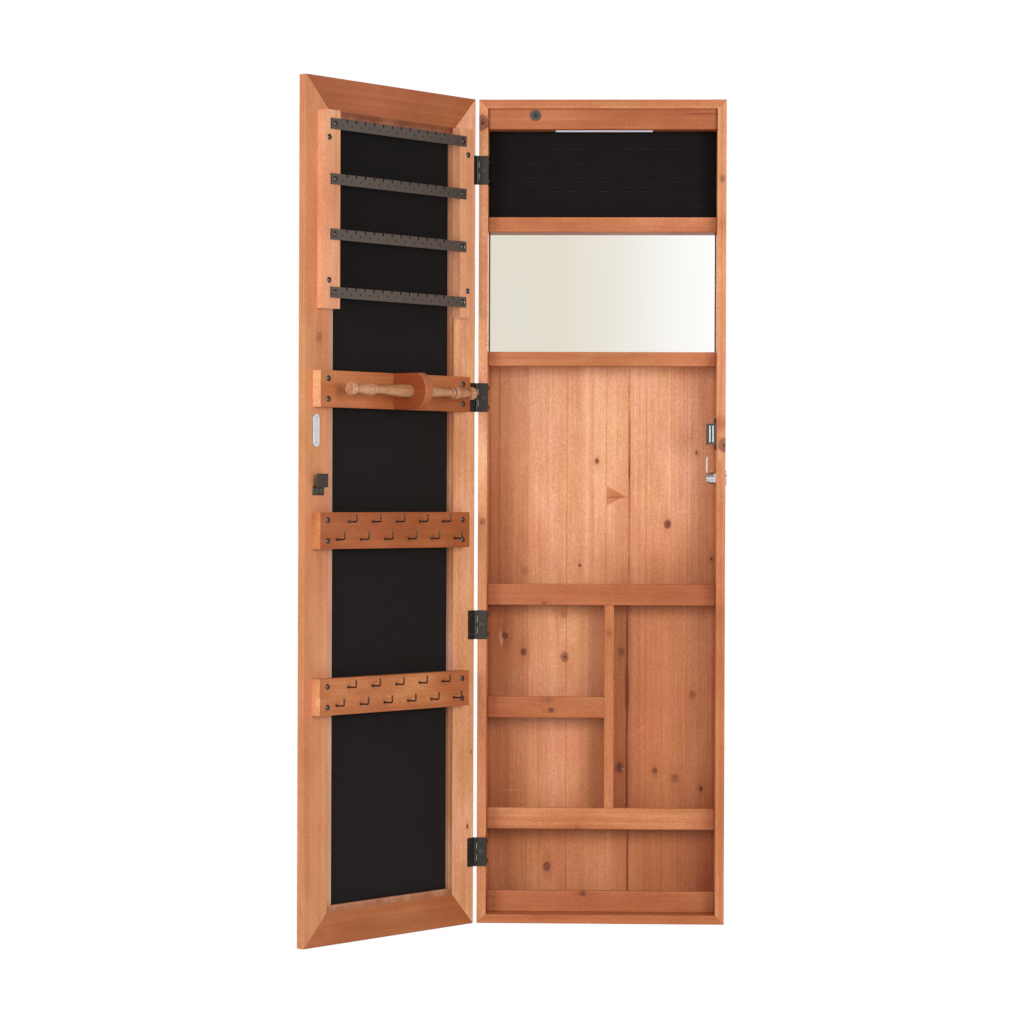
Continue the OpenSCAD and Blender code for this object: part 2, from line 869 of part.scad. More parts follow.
// A hook points into the cabinet along +Z here, and -Y is up once it is on its rail.
module hook() {
    straight = hook_reach - 3 - hook_r - hook_bend;
    cylinder(r = hook_r, h = straight, $fn = 24);
    translate([0, 0, strip_t - 3]) cylinder(r1 = hook_collar_r, r2 = 1.3, h = 1.6, $fn = 24);
    translate([0, -hook_bend, straight]) rotate([90, 0, 90]) {
        rotate_extrude(angle = 90, $fn = 32) translate([hook_bend, 0]) circle(hook_r, $fn = 24);
    }
    translate([0, -hook_bend, straight + hook_bend]) rotate([90, 0, 0]) {
        cylinder(r = hook_r, h = hook_up - hook_bend, $fn = 24);
        translate([0, 0, hook_up - hook_bend]) sphere(hook_r, $fn = 24);
    }
}

module hooks() {
    color(steel_dark) door_pose() each_hook() hook();
}

module strip_screws(cut) {
    for (u = strip_screw_u, z = strip_screw_z) on_door(u, strip_t, z) {
        if (cut) cylinder(r = screw_r, h = 24); else pan_screw(24);
    }
}

module bar_screws(cut) {
    for (u = [bar_u[0] + bar_screw_in, bar_u[1] - bar_screw_in], z = bar_z) {
        on_door(u, strip_t + bar_t, z) if (cut) cylinder(r = screw_r, h = 12); else pan_screw(12);
    }
}

module board_screws(zs, cut) {
    for (u = board_screw_u, z = zs, s = [-1, 1]) on_door(u, strip_t, z + s * board_screw_dz) {
        if (cut) cylinder(r = screw_r, h = 24); else pan_screw(24);
    }
}

module keeper_screws(cut) {
    for (u = keeper_screw_u) on_door(u, keeper_t, keeper_screw_z) {
        if (cut) flush_seat(10); else flush_screw(10);
    }
}

module strike_screw_set(cut) {
    for (s = [-1, 1]) on_door(strike_u, strike_t, strike_z + s * strike_screw_dz) {
        if (cut) flush_seat(10); else flush_screw(10);
    }
}

module door_screw_set(cut) {
    hinge_door_screws(cut);
    strip_screws(cut);
    board_screws(concat([bracelet_z], hook_rail_z), cut);
    keeper_screws(cut);
    if (cut) strike_screw_set(cut);
    if (!cut) bar_screws(cut);
}

module door_screws() {
    color(steel_dark) door_pose() door_screw_set(false);
}

module strike_plate() {
    color(steel) door_pose() difference() {
        translate([door_x + strike_u, door_y + strike_t, strike_z]) rotate([90, 0, 0]) {
            linear_extrude(strike_t) {
                square([strike_w, strike_h - strike_w], center = true);
                for (s = [-1, 1]) translate([0, s * (strike_h - strike_w) / 2]) circle(strike_w / 2);
            }
        }
        strike_screw_set(true);
    }
}

module strike_screws() {
    color(steel) door_pose() strike_screw_set(false);
}

// A base, a step and a raised plate that the cam's claw drops behind.
module keeper() {
    z1 = keeper_z[0] + keeper_base_h;
    color(steel_dark) door_pose() difference() {
        union() {
            door_block(keeper_u, [0, keeper_t], [keeper_z[0], z1]);
            door_block(keeper_u, [0, keeper_lift + keeper_t], [z1 - keeper_t, z1]);
            door_block(keeper_u, [keeper_lift, keeper_lift + keeper_t], [z1 - keeper_t, keeper_z[1]]);
        }
        keeper_screws(true);
    }
}

side_left();
side_right();
top_board();
bottom_board();
back_panel();
hanging_rail();
hanger_plates();
top_rail();
light_shelf();
light_housing();
light_diffuser();
light_circuit();
battery_holder();
battery_cells();
switch_bezel();
switch_button();
ring_rail();
ring_shelf();
ring_pad();
ring_pad_board();
mirror_rail();
mirror_shelf();
small_mirror();
mirror_backing();
tray_rails();
tray_shelves();
divider();
left_rail();
left_shelf();
catch_body();
catch_magnet();
lock_body();
lock_nut();
lock_plug();
lock_cam();
lock_cam_screw();
hinge_frame_leaves();
hinge_pins();
hinge_door_leaves();
cabinet_screws();
door_stile_hinge();
door_stile_free();
door_rail_top();
door_rail_bottom();
door_beads();
felt_board();
door_mirror();
earring_strips();
earring_bars();
bracelet_board();
bracelet_bracket();
bracelet_spindle();
hook_rails();
hooks();
door_screws();
strike_plate();
strike_screws();
keeper();
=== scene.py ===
"""Looks for a wall-hung wooden jewelry cabinet with a mirror door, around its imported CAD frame. Metres."""

import json
import math
import random

import bmesh
import bpy
import numpy as np
from mathutils import Matrix, Vector, noise


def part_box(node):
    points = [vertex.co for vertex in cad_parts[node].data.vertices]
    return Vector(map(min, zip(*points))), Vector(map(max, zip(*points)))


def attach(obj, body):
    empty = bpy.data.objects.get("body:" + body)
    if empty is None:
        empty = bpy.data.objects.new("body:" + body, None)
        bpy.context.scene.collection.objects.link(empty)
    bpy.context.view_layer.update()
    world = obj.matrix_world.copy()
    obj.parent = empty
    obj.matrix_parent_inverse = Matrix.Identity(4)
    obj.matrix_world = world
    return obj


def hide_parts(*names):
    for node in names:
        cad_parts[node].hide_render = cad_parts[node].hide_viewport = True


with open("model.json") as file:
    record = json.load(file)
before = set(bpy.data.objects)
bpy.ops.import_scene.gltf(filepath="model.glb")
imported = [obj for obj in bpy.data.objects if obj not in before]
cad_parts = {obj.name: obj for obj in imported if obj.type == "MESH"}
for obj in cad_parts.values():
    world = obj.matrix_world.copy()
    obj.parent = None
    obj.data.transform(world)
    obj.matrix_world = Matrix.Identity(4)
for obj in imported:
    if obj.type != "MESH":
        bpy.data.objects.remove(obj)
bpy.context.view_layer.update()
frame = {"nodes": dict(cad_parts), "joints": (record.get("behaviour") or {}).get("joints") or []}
nodes = frame["nodes"]
scene = bpy.context.scene
scene.view_settings.view_transform = "Standard"

# The door hinge comes from the record: every door piece is textured as if the door were closed.
hinge = next(j for j in frame["joints"] if j["name"] == "door_hinge")
hinge_x, hinge_y = hinge["pos_m"][0], hinge["pos_m"][1]
door_angle = math.radians(hinge["range_deg"][1])


# ---- Camera, floor and light

LENS_MM = 110.9
SENSOR_MM = 36
CAMERA_AT = (0.013, -4.6886, 0.6199)
CAMERA_YAW, CAMERA_PITCH, CAMERA_ROLL = 1.786, 89.745, 0.203
FLOOR_Z = -1.25
FLOOR_R = 5
AMBIENT_LOW, AMBIENT_HIGH = 0.42, 0.66
LIGHT_TARGET = (0, -0.05, 0.7)
WHITE = (1, 1, 1)
CREAM = (0.83, 0.765, 0.665)
CREAM_YELLOWER = (0.8, 0.765, 0.67)
BRIGHT = (1.075, 1.065, 1.06)
FLAG_BLACK = (0.05, 0.05, 0.05)


def camera():
    data = bpy.data.cameras.new("camera")
    data.lens = LENS_MM
    data.sensor_width = SENSOR_MM
    cam = bpy.data.objects.new("camera", data)
    yaw = Matrix.Rotation(math.radians(CAMERA_YAW), 4, "Z")
    pitch = Matrix.Rotation(math.radians(CAMERA_PITCH), 4, "X")
    roll = Matrix.Rotation(math.radians(CAMERA_ROLL), 4, "Z")
    cam.matrix_world = Matrix.Translation(CAMERA_AT) @ yaw @ pitch @ roll
    scene.collection.objects.link(cam)
    scene.camera = cam


def floor():
    bm = bmesh.new()
    bmesh.ops.create_circle(bm, cap_ends=True, segments=128, radius=FLOOR_R)
    me = bpy.data.meshes.new("floor")
    bm.to_mesh(me)
    bm.free()
    o = bpy.data.objects.new("floor", me)
    o.location = (0, 0, FLOOR_Z)
    scene.collection.objects.link(o)
    t = Material("floor")
    mottle = t.noise(t.object_coords(), 3, 3, 0.5)
    t.look("Base Color", t.mix(mottle, (0.93, 0.93, 0.93), (0.9, 0.9, 0.895)))
    t.look("Roughness", 0.9)
    me.materials.append(t.material)


def area_light(name, place, size, power, color):
    data = bpy.data.lights.new(name, "AREA")
    data.shape = "RECTANGLE"
    data.size, data.size_y = size
    data.energy = power
    data.color = color
    o = bpy.data.objects.new(name, data)
    o.location = place
    o.rotation_euler = (Vector(LIGHT_TARGET) - Vector(place)).to_track_quat("-Z", "Y").to_euler()
    o.visible_camera = False
    scene.collection.objects.link(o)


def studio():
    """A white room: dimmer where it lights, and with a cream wall on the left in what shines."""
    world = bpy.data.worlds.new("studio")
    scene.world = world
    world.use_nodes = True
    t = Tree(world.node_tree)
    x, y, z = t.split(t.node("ShaderNodeTexCoord").outputs["Generated"])
    sideways = t.div(x, t.max(t.abs(y), 0.001))
    haze = t.grain(t.join(x, y, z), (30, 1, 12), 1)
    edge = total(t, (1, sideways), (0.02, z), (-0.012, haze))
    cream = t.mix(t.span(haze, 0.35, 0.65), CREAM, CREAM_YELLOWER)
    shine = t.mix(t.ease(edge, -0.025, 0.035), cream, BRIGHT)
    # Black flags beside, above and below the camera give polished metal its dark lines.
    aside, aloft = t.abs(x), t.abs(z)
    beside = t.mul(t.span(aside, 0.26, 0.4), t.span(aside, 0.82, 0.68))
    upright = t.mul(t.span(aloft, 0.34, 0.46), t.span(aloft, 0.84, 0.72))
    shine = t.mix(t.mul(t.max(beside, upright), 0.9), shine, FLAG_BLACK)
    light = t.mix(t.span(z, -0.6, 0.8), (AMBIENT_LOW,) * 3, (AMBIENT_HIGH,) * 3)
    path = t.node("ShaderNodeLightPath")
    color = t.mix(path.outputs["Is Glossy Ray"], light, shine)
    color = t.mix(path.outputs["Is Camera Ray"], color, WHITE)
    t.put(world.node_tree.nodes["Background"].inputs["Color"], color)
    area_light("key", (1.35, -2.4, 1.02), (1, 1), 31, (1, 0.985, 0.96))
    area_light("fill", (-1.7, -2.7, 1.05), (1.2, 1.4), 43, (1, 0.99, 0.975))


# ---- Node helpers

class Tree:
    """A short way to write shader nodes: t.mul(a, b) takes numbers or sockets and gives a socket."""

    def __init__(self, tree):
        self.t = tree

    def node(self, kind, **settings):
        n = self.t.nodes.new(kind)
        for k, v in settings.items():
            setattr(n, k, v)
        return n

    def put(self, socket, value):
        if isinstance(value, bpy.types.NodeSocket):
            self.t.links.new(value, socket)
        elif value is not None:
            socket.default_value = value

    def math(self, op, a, b=None, c=None):
        n = self.node("ShaderNodeMath", operation=op)
        for s, v in zip(n.inputs, (a, b, c)):
            self.put(s, v)
        return n.outputs[0]

    def add(self, a, b):
        return self.math("ADD", a, b)

    def sub(self, a, b):
        return self.math("SUBTRACT", a, b)

    def mul(self, a, b):
        return self.math("MULTIPLY", a, b)

    def div(self, a, b):
        return self.math("DIVIDE", a, b)

    def madd(self, a, b, c):
        return self.math("MULTIPLY_ADD", a, b, c)

    def vec(self, op, a, b):
        n = self.node("ShaderNodeVectorMath", operation=op)
        self.put(n.inputs[0], a)
        self.put(n.inputs[1], b)
        return n.outputs["Vector"]

    def abs(self, a):
        return self.math("ABSOLUTE", a)

    def fract(self, a):
        return self.math("FRACT", a)

    def max(self, a, b):
        return self.math("MAXIMUM", a, b)

    def split(self, v):
        n = self.node("ShaderNodeSeparateXYZ")
        self.put(n.inputs[0], v)
        return n.outputs[0], n.outputs[1], n.outputs[2]

    def join(self, x, y, z):
        n = self.node("ShaderNodeCombineXYZ")
        for s, v in zip(n.inputs, (x, y, z)):
            self.put(s, v)
        return n.outputs[0]

    def noise(self, v, scale, detail, rough=0.5):
        n = self.node("ShaderNodeTexNoise")
        self.put(n.inputs["Vector"], v)
        self.put(n.inputs["Scale"], scale)
        n.inputs["Detail"].default_value = detail
        n.inputs["Roughness"].default_value = rough
        return n.outputs[0]

    def grain(self, v, scales, detail, rough=0.5):
        """Noise with its own scale along each axis."""
        return self.noise(self.vec("MULTIPLY", v, scales), 1, detail, rough)

    def white(self, w):
        n = self.node("ShaderNodeTexWhiteNoise", noise_dimensions="1D")
        self.put(n.inputs["W"], w)
        return n.outputs["Value"]

    def span(self, v, lo, hi, to_lo=0, to_hi=1, shape="LINEAR"):
        n = self.node("ShaderNodeMapRange", interpolation_type=shape)
        for s, x in zip(n.inputs, (v, lo, hi, to_lo, to_hi)):
            self.put(s, x)
        return n.outputs[0]

    def ease(self, v, lo, hi, to_lo=0, to_hi=1):
        return self.span(v, lo, hi, to_lo, to_hi, "SMOOTHSTEP")

    def mix(self, f, a, b, blend="MIX"):
        n = self.node("ShaderNodeMix", data_type="RGBA", blend_type=blend)
        self.put(n.inputs[0], f)
        self.put(n.inputs[6], a if isinstance(a, bpy.types.NodeSocket) else (*a[:3], 1))
        self.put(n.inputs[7], b if isinstance(b, bpy.types.NodeSocket) else (*b[:3], 1))
        return n.outputs[2]

    def bump(self, height, distance, strength):
        n = self.node("ShaderNodeBump")
        self.put(n.inputs["Height"], height)
        n.inputs["Distance"].default_value = distance
        n.inputs["Strength"].default_value = strength
        return n.outputs[0]

    def object_coords(self):
        return self.node("ShaderNodeTexCoord").outputs["Object"]


class Material(Tree):
    """A new material, whose surface is set one property at a time."""

    def __init__(self, name):
        self.material = bpy.data.materials.new(name)
        self.material.use_nodes = True
        super().__init__(self.material.node_tree)
        self.surface = self.t.nodes["Principled BSDF"].inputs

    def look(self, name, value):
        self.put(self.surface[name], value)


# ---- Wood

# The palest stained wood, and how fast red, green and blue are lost as the stain gets deeper.
PALE = (0.72, 0.345, 0.2)
STAIN_LOSS = (0.56, 1, 1.45)
DEPTH_RANGE = (-0.8, 2.4)
RAMP_STOPS = 7


def stepped(t, x, first, steps):
    """A value that starts at first and changes at each (edge, value) of steps."""
    out, last = first, first
    for edge, value in steps:
        out = t.add(out, t.mul(t.math("GREATER_THAN", x, edge), value - last))
        last = value
    return out


def ridge(t, x, centre, width):
    """1 on the line x = centre, falling off over width like a bell."""
    off = t.div(t.sub(x, centre), width)
    return t.math("EXPONENT", t.mul(t.mul(off, off), -1))


def total(t, *terms):
    """The sum of (weight, socket) pairs."""
    out = 0
    for weight, socket in terms:
        out = t.madd(socket, weight, out)
    return out


def knot_group():
    """Where a branch was: how far it pushes the grain aside, and how its core, rim, halo and eye show."""
    g = bpy.data.node_groups.new("knot", "ShaderNodeTree")
    for name in ("Vector", "Centre"):
        g.interface.new_socket(name, in_out="INPUT", socket_type="NodeSocketVector")
    for name in ("Size", "Ragged"):
        g.interface.new_socket(name, in_out="INPUT", socket_type="NodeSocketFloat")
    for name in ("Push", "Core", "Rim", "Halo", "Eye"):
        g.interface.new_socket(name, in_out="OUTPUT", socket_type="NodeSocketFloat")
    t = Tree(g)
    gin, gout = t.node("NodeGroupInput"), t.node("NodeGroupOutput")
    x, _, z = t.split(t.vec("SUBTRACT", gin.outputs["Vector"], gin.outputs["Centre"]))
    size, ragged = gin.outputs["Size"], gin.outputs["Ragged"]
    xs, zs = t.div(x, size), t.div(z, size)
    zc = t.mul(zs, 0.8)
    d = t.math("SQRT", t.madd(xs, xs, t.mul(zc, zc)))
    d = t.madd(ragged, 1.1, d)
    far = total(t, (0.16, t.mul(xs, xs)), (0.03, t.mul(zs, zs)))
    t.put(gout.inputs["Push"], t.mul(t.mul(x, t.math("EXPONENT", t.mul(far, -1))), 0.7))
    t.put(gout.inputs["Core"], t.ease(d, 1.2, 0.8))
    t.put(gout.inputs["Rim"], t.mul(ridge(t, d, 0.95, 0.22), t.span(ragged, -0.1, 0.12, 0.25, 1)))
    t.put(gout.inputs["Halo"], t.math("EXPONENT", t.mul(far, -2.2)))
    off = t.add(d, t.mul(ragged, 1.4))
    t.put(gout.inputs["Eye"], t.ease(off, 0.46, 0.2))
    return g


KNOT = knot_group()


def board_coords(t, place, grain):
    """Where a point is across, through and along a board, and how squarely it faces along the grain."""
    source = t.node("ShaderNodeTexCoord")
    v, normal = source.outputs["Object"], source.outputs["Normal"]
    if place == "door":
        turn = Matrix.Rotation(door_angle, 3, "Z")
        pivot = Vector((hinge_x, hinge_y, 0))
        closed = []
        for kind, vector, shift in (("POINT", v, pivot - turn @ pivot), ("NORMAL", normal, None)):
            n = t.node("ShaderNodeMapping", vector_type=kind)
            if shift:
                n.inputs["Location"].default_value = shift
            n.inputs["Rotation"].default_value = (0, 0, door_angle)
            t.put(n.inputs["Vector"], vector)
            closed.append(n.outputs[0])
        v, normal = closed
    x, y, z = t.split(v)
    facing = t.split(normal)["xyz".index(grain)]
    if grain == "x":
        x, z = z, x
    if grain == "y":
        y, z = z, y
    return x, y, z, t.abs(facing)


def board_piece(t, x, z, cell, staves, seed):
    """The place in its own tree of each board or glued strip, across and along, and the strip's own tone."""
    x_in, z_in, board_tone = x, z, 0
    if cell:
        start, pitch = cell
        number = t.math("FLOOR", t.div(t.sub(x, start), pitch))
        x_in = t.sub(x, t.madd(number, pitch, start + pitch / 2))
        z_in = t.madd(number, 3.7, z)
    if staves:
        # Each glued strip is another piece of tree, from another place along the grain.
        first, steps = staves
        index = stepped(t, x, 0, [(edge, k + 1) for k, (edge, _) in enumerate(steps)])
        board_tone = stepped(t, x, first, steps)
        z_in = t.madd(t.white(t.add(index, seed * 0.37)), 5, z)
        x_in = t.madd(t.white(t.add(index, seed * 0.91)), 0.05, x)
    return x_in, z_in, board_tone


def knot_marks(t, v, front, knots, through):
    """How far the knots push the grain aside, and how much shows of their core, rim, halo and eye."""
    push = 0
    shows = dict.fromkeys(("Core", "Rim", "Halo", "Eye"), 0)
    ragged = t.sub(t.noise(v, 170, 3, 0.6), 0.5)
    for x, z, radius, strength in knots:
        k = t.node("ShaderNodeGroup", node_tree=KNOT)
        t.put(k.inputs["Vector"], v)
        k.inputs["Centre"].default_value = (x, 0, z)
        k.inputs["Size"].default_value = radius
        if not through:
            strength = t.mul(front, strength)
        t.put(k.inputs["Ragged"], ragged)
        push = t.add(push, k.outputs["Push"])
        for part, shown in shows.items():
            shows[part] = t.max(shown, t.mul(k.outputs[part], strength))
    return (push, *shows.values())


def growth_rings(t, x, y, p, push, heart, ring, start):
    """The dark late wood of each year's growth around the heart of the tree."""
    broad = t.grain(p, (5, 5, 0.8), 1)
    shift = t.mul(t.sub(broad, 0.5), 0.035)
    hx = t.sub(t.sub(t.add(x, shift), push), heart[0])
    hy = t.sub(t.madd(shift, 0.6, y), heart[1])
    radius = t.math("SQRT", t.madd(hx, hx, t.mul(hy, hy)))
    years = t.div(radius, ring)
    # Years are not all as wide, nor as dark.
    years = t.madd(t.noise(t.join(years, 0, start), 0.35, 2), 3, years)
    part = t.fract(years)
    late = t.mul(t.math("POWER", part, 3), t.ease(part, 1, 0.86))
    year_tone = t.white(t.math("FLOOR", years))
    return t.mul(late, t.madd(year_tone, 1.5, 0.25))


def stain_and_painted_shade(t, depth, x, z, front, cloud, shade_falloff, stains, pooled_and_painted_light):
    """The stain's depth with painted shade falling off along the board, its soft patches, and its lines of
    stain in joints and of painted shade and highlight.
    """
    uneven_cloud = t.sub(cloud, 0.5)
    # Painted shade: the board gets darker along its length where the light falls off.
    for start, stop, gain in shade_falloff:
        depth = t.madd(t.ease(z, start, stop), gain, depth)
    for across, along, wide, high, strength in stains:
        sx = t.div(t.sub(x, across), wide)
        sz = t.div(t.sub(z, along), high)
        spread = t.madd(sx, sx, t.mul(sz, sz))
        spread = t.madd(uneven_cloud, 1.6, spread)
        spot = t.math("EXPONENT", t.mul(spread, -1))
        depth = t.madd(t.mul(front, spot), strength, depth)
    # Lines of stain in joints, and lines of painted shade and painted highlight.
    for way, place_at, width, strength in pooled_and_painted_light:
        line = ridge(t, x if way == "across" else z, place_at, width)
        uneven = t.mul(line, t.span(cloud, 0.3, 0.6, 0.45, 1.1))
        depth = t.madd(t.mul(front, uneven), strength, depth)
    return depth


def glue_lines(t, depth, x, z, p, staves, lines):
    """The stain's depth with the joints between glued strips and the dark lines along the grain."""
    if staves:
        for edge, _ in staves[1]:
            depth = t.madd(ridge(t, x, edge, 0.0006), 0.2, depth)
    if not lines:
        return depth
    wander = t.madd(t.grain(p, (1, 1, 7), 2), 0.0024, -0.0012)
    swell = t.span(t.grain(p, (1, 1, 16), 2), 0.35, 0.62, 0.55, 1)
    for across, width, strength, low, high in lines:
        line = ridge(t, t.add(x, wander), across, width)
        stretch = t.mul(t.ease(z, low, low + 0.02), t.ease(z, high, high - 0.05))
        line = t.mul(t.mul(line, swell), stretch)
        depth = t.madd(line, strength, depth)
    return depth


def sawn_branches(t, depth, x, z, wedges):
    """The stain's depth with branches sawn lengthwise: flat where the strip was glued, coming to a point."""
    for across, tip, along, half in wedges:
        run = t.span(x, across, tip, 1, 0)
        rise = t.abs(t.sub(z, along))
        inside = t.sub(t.mul(run, half), rise)
        inside = t.mul(t.ease(inside, -0.0006, 0.0012), t.math("GREATER_THAN", x, across))
        middle = t.mul(ridge(t, z, along - 0.002, 0.0012), t.math("GREATER_THAN", x, across))
        middle = t.mul(middle, t.span(x, tip + 0.006, tip))
        depth = total(t, (0.62, inside), (0.55, middle), (1, depth))
    return depth


def stain_color(t, depth, pale):
    """The colour of pale wood under stain of a depth."""
    ramp = t.node("ShaderNodeValToRGB")
    low, high = DEPTH_RANGE
    t.put(ramp.inputs[0], t.span(depth, low, high))
    for _ in range(RAMP_STOPS - 2):
        ramp.color_ramp.elements.new(0.5)
    for k, e in enumerate(ramp.color_ramp.elements):
        e.position = k / (RAMP_STOPS - 1)
        d = low + e.position * (high - low)
        e.color = (*(min(0.95, c * math.exp(-loss * d)) for c, loss in zip(pale, STAIN_LOSS)), 1)
    return ramp.outputs[0]


def knot_colors(t, color, v, core, rim, eye):
    inner = t.madd(t.noise(v, 240, 2), 0.6, 0.2)
    color = t.mix(t.mul(core, 0.85), color, t.mix(inner, (0.26, 0.062, 0.027), (0.13, 0.03, 0.016)))
    color = t.mix(t.mul(rim, 0.65), color, (0.095, 0.022, 0.013))
    return t.mix(t.mul(eye, 0.9), color, (0.036, 0.011, 0.008))


def scuffed(t, color, x, z, fibre, front, scuffs):
    """The colour with short slanting rubs of bright stain."""
    for across, along, length in scuffs:
        sx = t.sub(x, across)
        sz = t.sub(z, along)
        lengthwise = t.add(t.mul(sx, 0.78), t.mul(sz, 0.62))
        crosswise = t.sub(t.mul(sx, 0.62), t.mul(sz, 0.78))
        rub = t.mul(ridge(t, lengthwise, 0, length), ridge(t, crosswise, 0, length * 0.22))
        rub = t.mul(t.mul(rub, t.span(fibre, 0.3, 0.5)), front)
        color = t.mix(t.mul(rub, 0.95), color, (0.66, 0.16, 0.055))
    return color


def chipped(t, color, x, z, whole, front, chips):
    """The colour with small torn spots of bare wood."""
    if not chips:
        return color
    torn = t.span(t.grain(whole, (700, 700, 90), 3, 0.65), 0.42, 0.6)
    for across, along, wide, high in chips:
        spot = t.mul(ridge(t, x, across, wide), ridge(t, z, along, high))
        spot = t.mul(t.mul(t.span(spot, 0.15, 0.75), torn), front)
        color = t.mix(t.mul(spot, 0.55), color, (0.8, 0.5, 0.34))
    return color


def wood(name, tone=0, place="cabinet", grain="z", seed=1, heart=(0, 0.1), ring=0.0042, rings=0.16,
         blotch=1, streaky=1, knots=(), wedges=(), staves=None, lines=(), cell=None, scuffs=(), shade_falloff=(),
         pooled_and_painted_light=(), stains=(), pale=PALE, chips=(), ends=0.15, gloss=0.3, near=None, through=True):
    """Stained softwood. heart is where the middle of the tree lies, across and through; ring is a year.
    Everything adds to the depth of the stain, painted shade and highlight too: 0 is pale, 1 a deep orange
    brown; tone is the board's own.
    shade_falloff is painted shade (from, to, depth) along the grain; pooled_and_painted_light is (across or
    along, place, width, strength): lines of stain in joints and of painted shade and highlight.
    knots are (across, along, radius, strength), wedges (across, tip, along, half height).
    lines are (across, width, strength, from, to), scuffs (across, along, length).
    staves is (first tone, [(edge, tone), ...]), cell (start, pitch) where a node holds several boards.
    stains are soft patches (across, along, half width, half height, strength).
    chips are bare spots (across, along, half width, half height).
    ends is how much deeper the stain is where the grain ends. near is (from, to) through the board, where
    stains, pooled_and_painted_light lines and chips come in; knots do too unless they go through."""
    t = Material(name)
    x0, y0, z0, end_grain = board_coords(t, place, grain)
    v = t.join(x0, y0, z0)
    front = t.ease(y0, *near) if near else 1
    rng = random.Random(seed)
    off = tuple(rng.uniform(-9, 9) for _ in range(3))
    x_in, z_in, board_tone = board_piece(t, x0, z0, cell, staves, seed)
    p = t.vec("ADD", t.join(x_in, y0, z_in), off)
    # The stain went on after the strips were glued, so it runs across them.
    whole = t.vec("ADD", v, off)
    # Knots push the grain aside before anything reads it.
    push, core, rim, halo, eye = knot_marks(t, v, front, knots, through) if knots else (0,) * 5
    late = growth_rings(t, x_in, y0, p, push, heart, ring, off[0])
    grainwise = t.vec("SUBTRACT", p, t.join(push, 0, 0)) if knots else p
    fibre = t.grain(grainwise, (900, 900, 11), 3, 0.6)
    thread = t.grain(grainwise, (240, 240, 1.6), 2, 0.55)
    band = t.grain(grainwise, (60, 60, 0.7), 2, 0.5)
    cloud = t.grain(whole, (17, 17, 7), 4, 0.58)
    patch = t.grain(whole, (5, 5, 2.2), 2, 0.5)
    sand = t.grain(whole, (480, 480, 260), 3, 0.7)
    pore = t.span(t.grain(p, (700, 700, 45), 1), 0.7, 0.8)
    uneven = [(0.55 * streaky, fibre), (0.45 * streaky, thread), (0.42 * streaky, band),
        (1.15 * blotch, cloud), (0.65 * blotch, patch), (1, sand)]
    depth = total(t, (rings, late), *((weight, t.sub(value, 0.5)) for weight, value in uneven),
        (0.12, pore), (0.36, halo), (ends, end_grain))
    depth = total(t, (1, depth), (1, t.add(board_tone, tone)))
    depth = stain_and_painted_shade(t, depth, x0, z0, front, cloud, shade_falloff, stains, pooled_and_painted_light)
    depth = glue_lines(t, depth, x0, z0, p, staves, lines)
    depth = sawn_branches(t, depth, x0, z0, wedges)
    color = stain_color(t, depth, pale)
    # Some of the stain is yellower and some redder.
    hue = t.span(t.grain(whole, (19, 19, 7), 3, 0.6), 0.36, 0.64)
    shades = t.mix(hue, (1.015, 0.965, 0.965), (0.99, 1.03, 0.87))
    color = t.mix(min(1, blotch), color, shades, "MULTIPLY")
    if knots:
        color = knot_colors(t, color, v, core, rim, eye)
    color = scuffed(t, color, x0, z0, fibre, front, scuffs)
    t.look("Base Color", chipped(t, color, x0, z0, whole, front, chips))
    t.look("Roughness", total(t, (0.22, fibre), (0.18, end_grain), (-0.08, late), (0.34, 1)))
    height = total(t, (0.5, late), (0.6, fibre), (0.25, sand), (-0.6, pore))
    t.look("Normal", t.bump(height, 0.0001, 0.5))
    t.look("Specular IOR Level", gloss)
    return t.material


# ---- Metal, glass, fabric and plastic

def times(color, factor):
    return tuple(c * factor for c in color)


def metal(name, color, rough, speckle=0.25):
    t = Material(name)
    v = t.object_coords()
    patch = t.noise(v, 130, 4, 0.6)
    fine = t.grain(v, (2400, 2400, 2400), 3, 0.6)
    worn = t.span(t.noise(v, 420, 3, 0.7), 0.58, 0.74)
    base = t.mix(t.mul(t.sub(patch, 0.3), speckle * 2), color, times(color, 0.55))
    base = t.mix(t.mul(worn, 0.18), base, tuple(min(1, c * 2.2 + 0.02) for c in color))
    t.look("Base Color", base)
    t.look("Metallic", 1)
    t.look("Roughness", t.add(t.mul(fine, 0.22), rough - 0.1))
    t.look("Normal", t.bump(fine, 0.00004, 0.4))
    return t.material


HOLE_SHADE_BLACK = (0.004, 0.003, 0.003)


def pressed_bar(name, color):
    """Painted steel strip: satin on its faces; inside its punched holes and on its cut edges it is painted near
    black, as painted shade.
    """
    t = Material(name)
    _, _, _, facing = board_coords(t, "door", "y")
    v = t.object_coords()
    fine = t.noise(v, 2400, 3, 0.6)
    patch = t.noise(v, 60, 3, 0.6)
    face = t.mix(t.mul(patch, 0.5), color, times(color, 0.7))
    # Painted shade: faces that do not lie along the door, the hole walls and cut edges, are painted near black.
    t.look("Base Color", t.mix(t.span(facing, 0.45, 0.7), HOLE_SHADE_BLACK, face))
    t.look("Metallic", 0.85)
    t.look("Roughness", t.madd(fine, 0.2, 0.32))
    t.look("Normal", t.bump(fine, 0.00004, 0.4))
    return t.material


MAGNET_BLACK = (0.03, 0.028, 0.028)
POLE_BRIGHT, POLE_DULL = (0.74, 0.75, 0.76), (0.56, 0.57, 0.58)


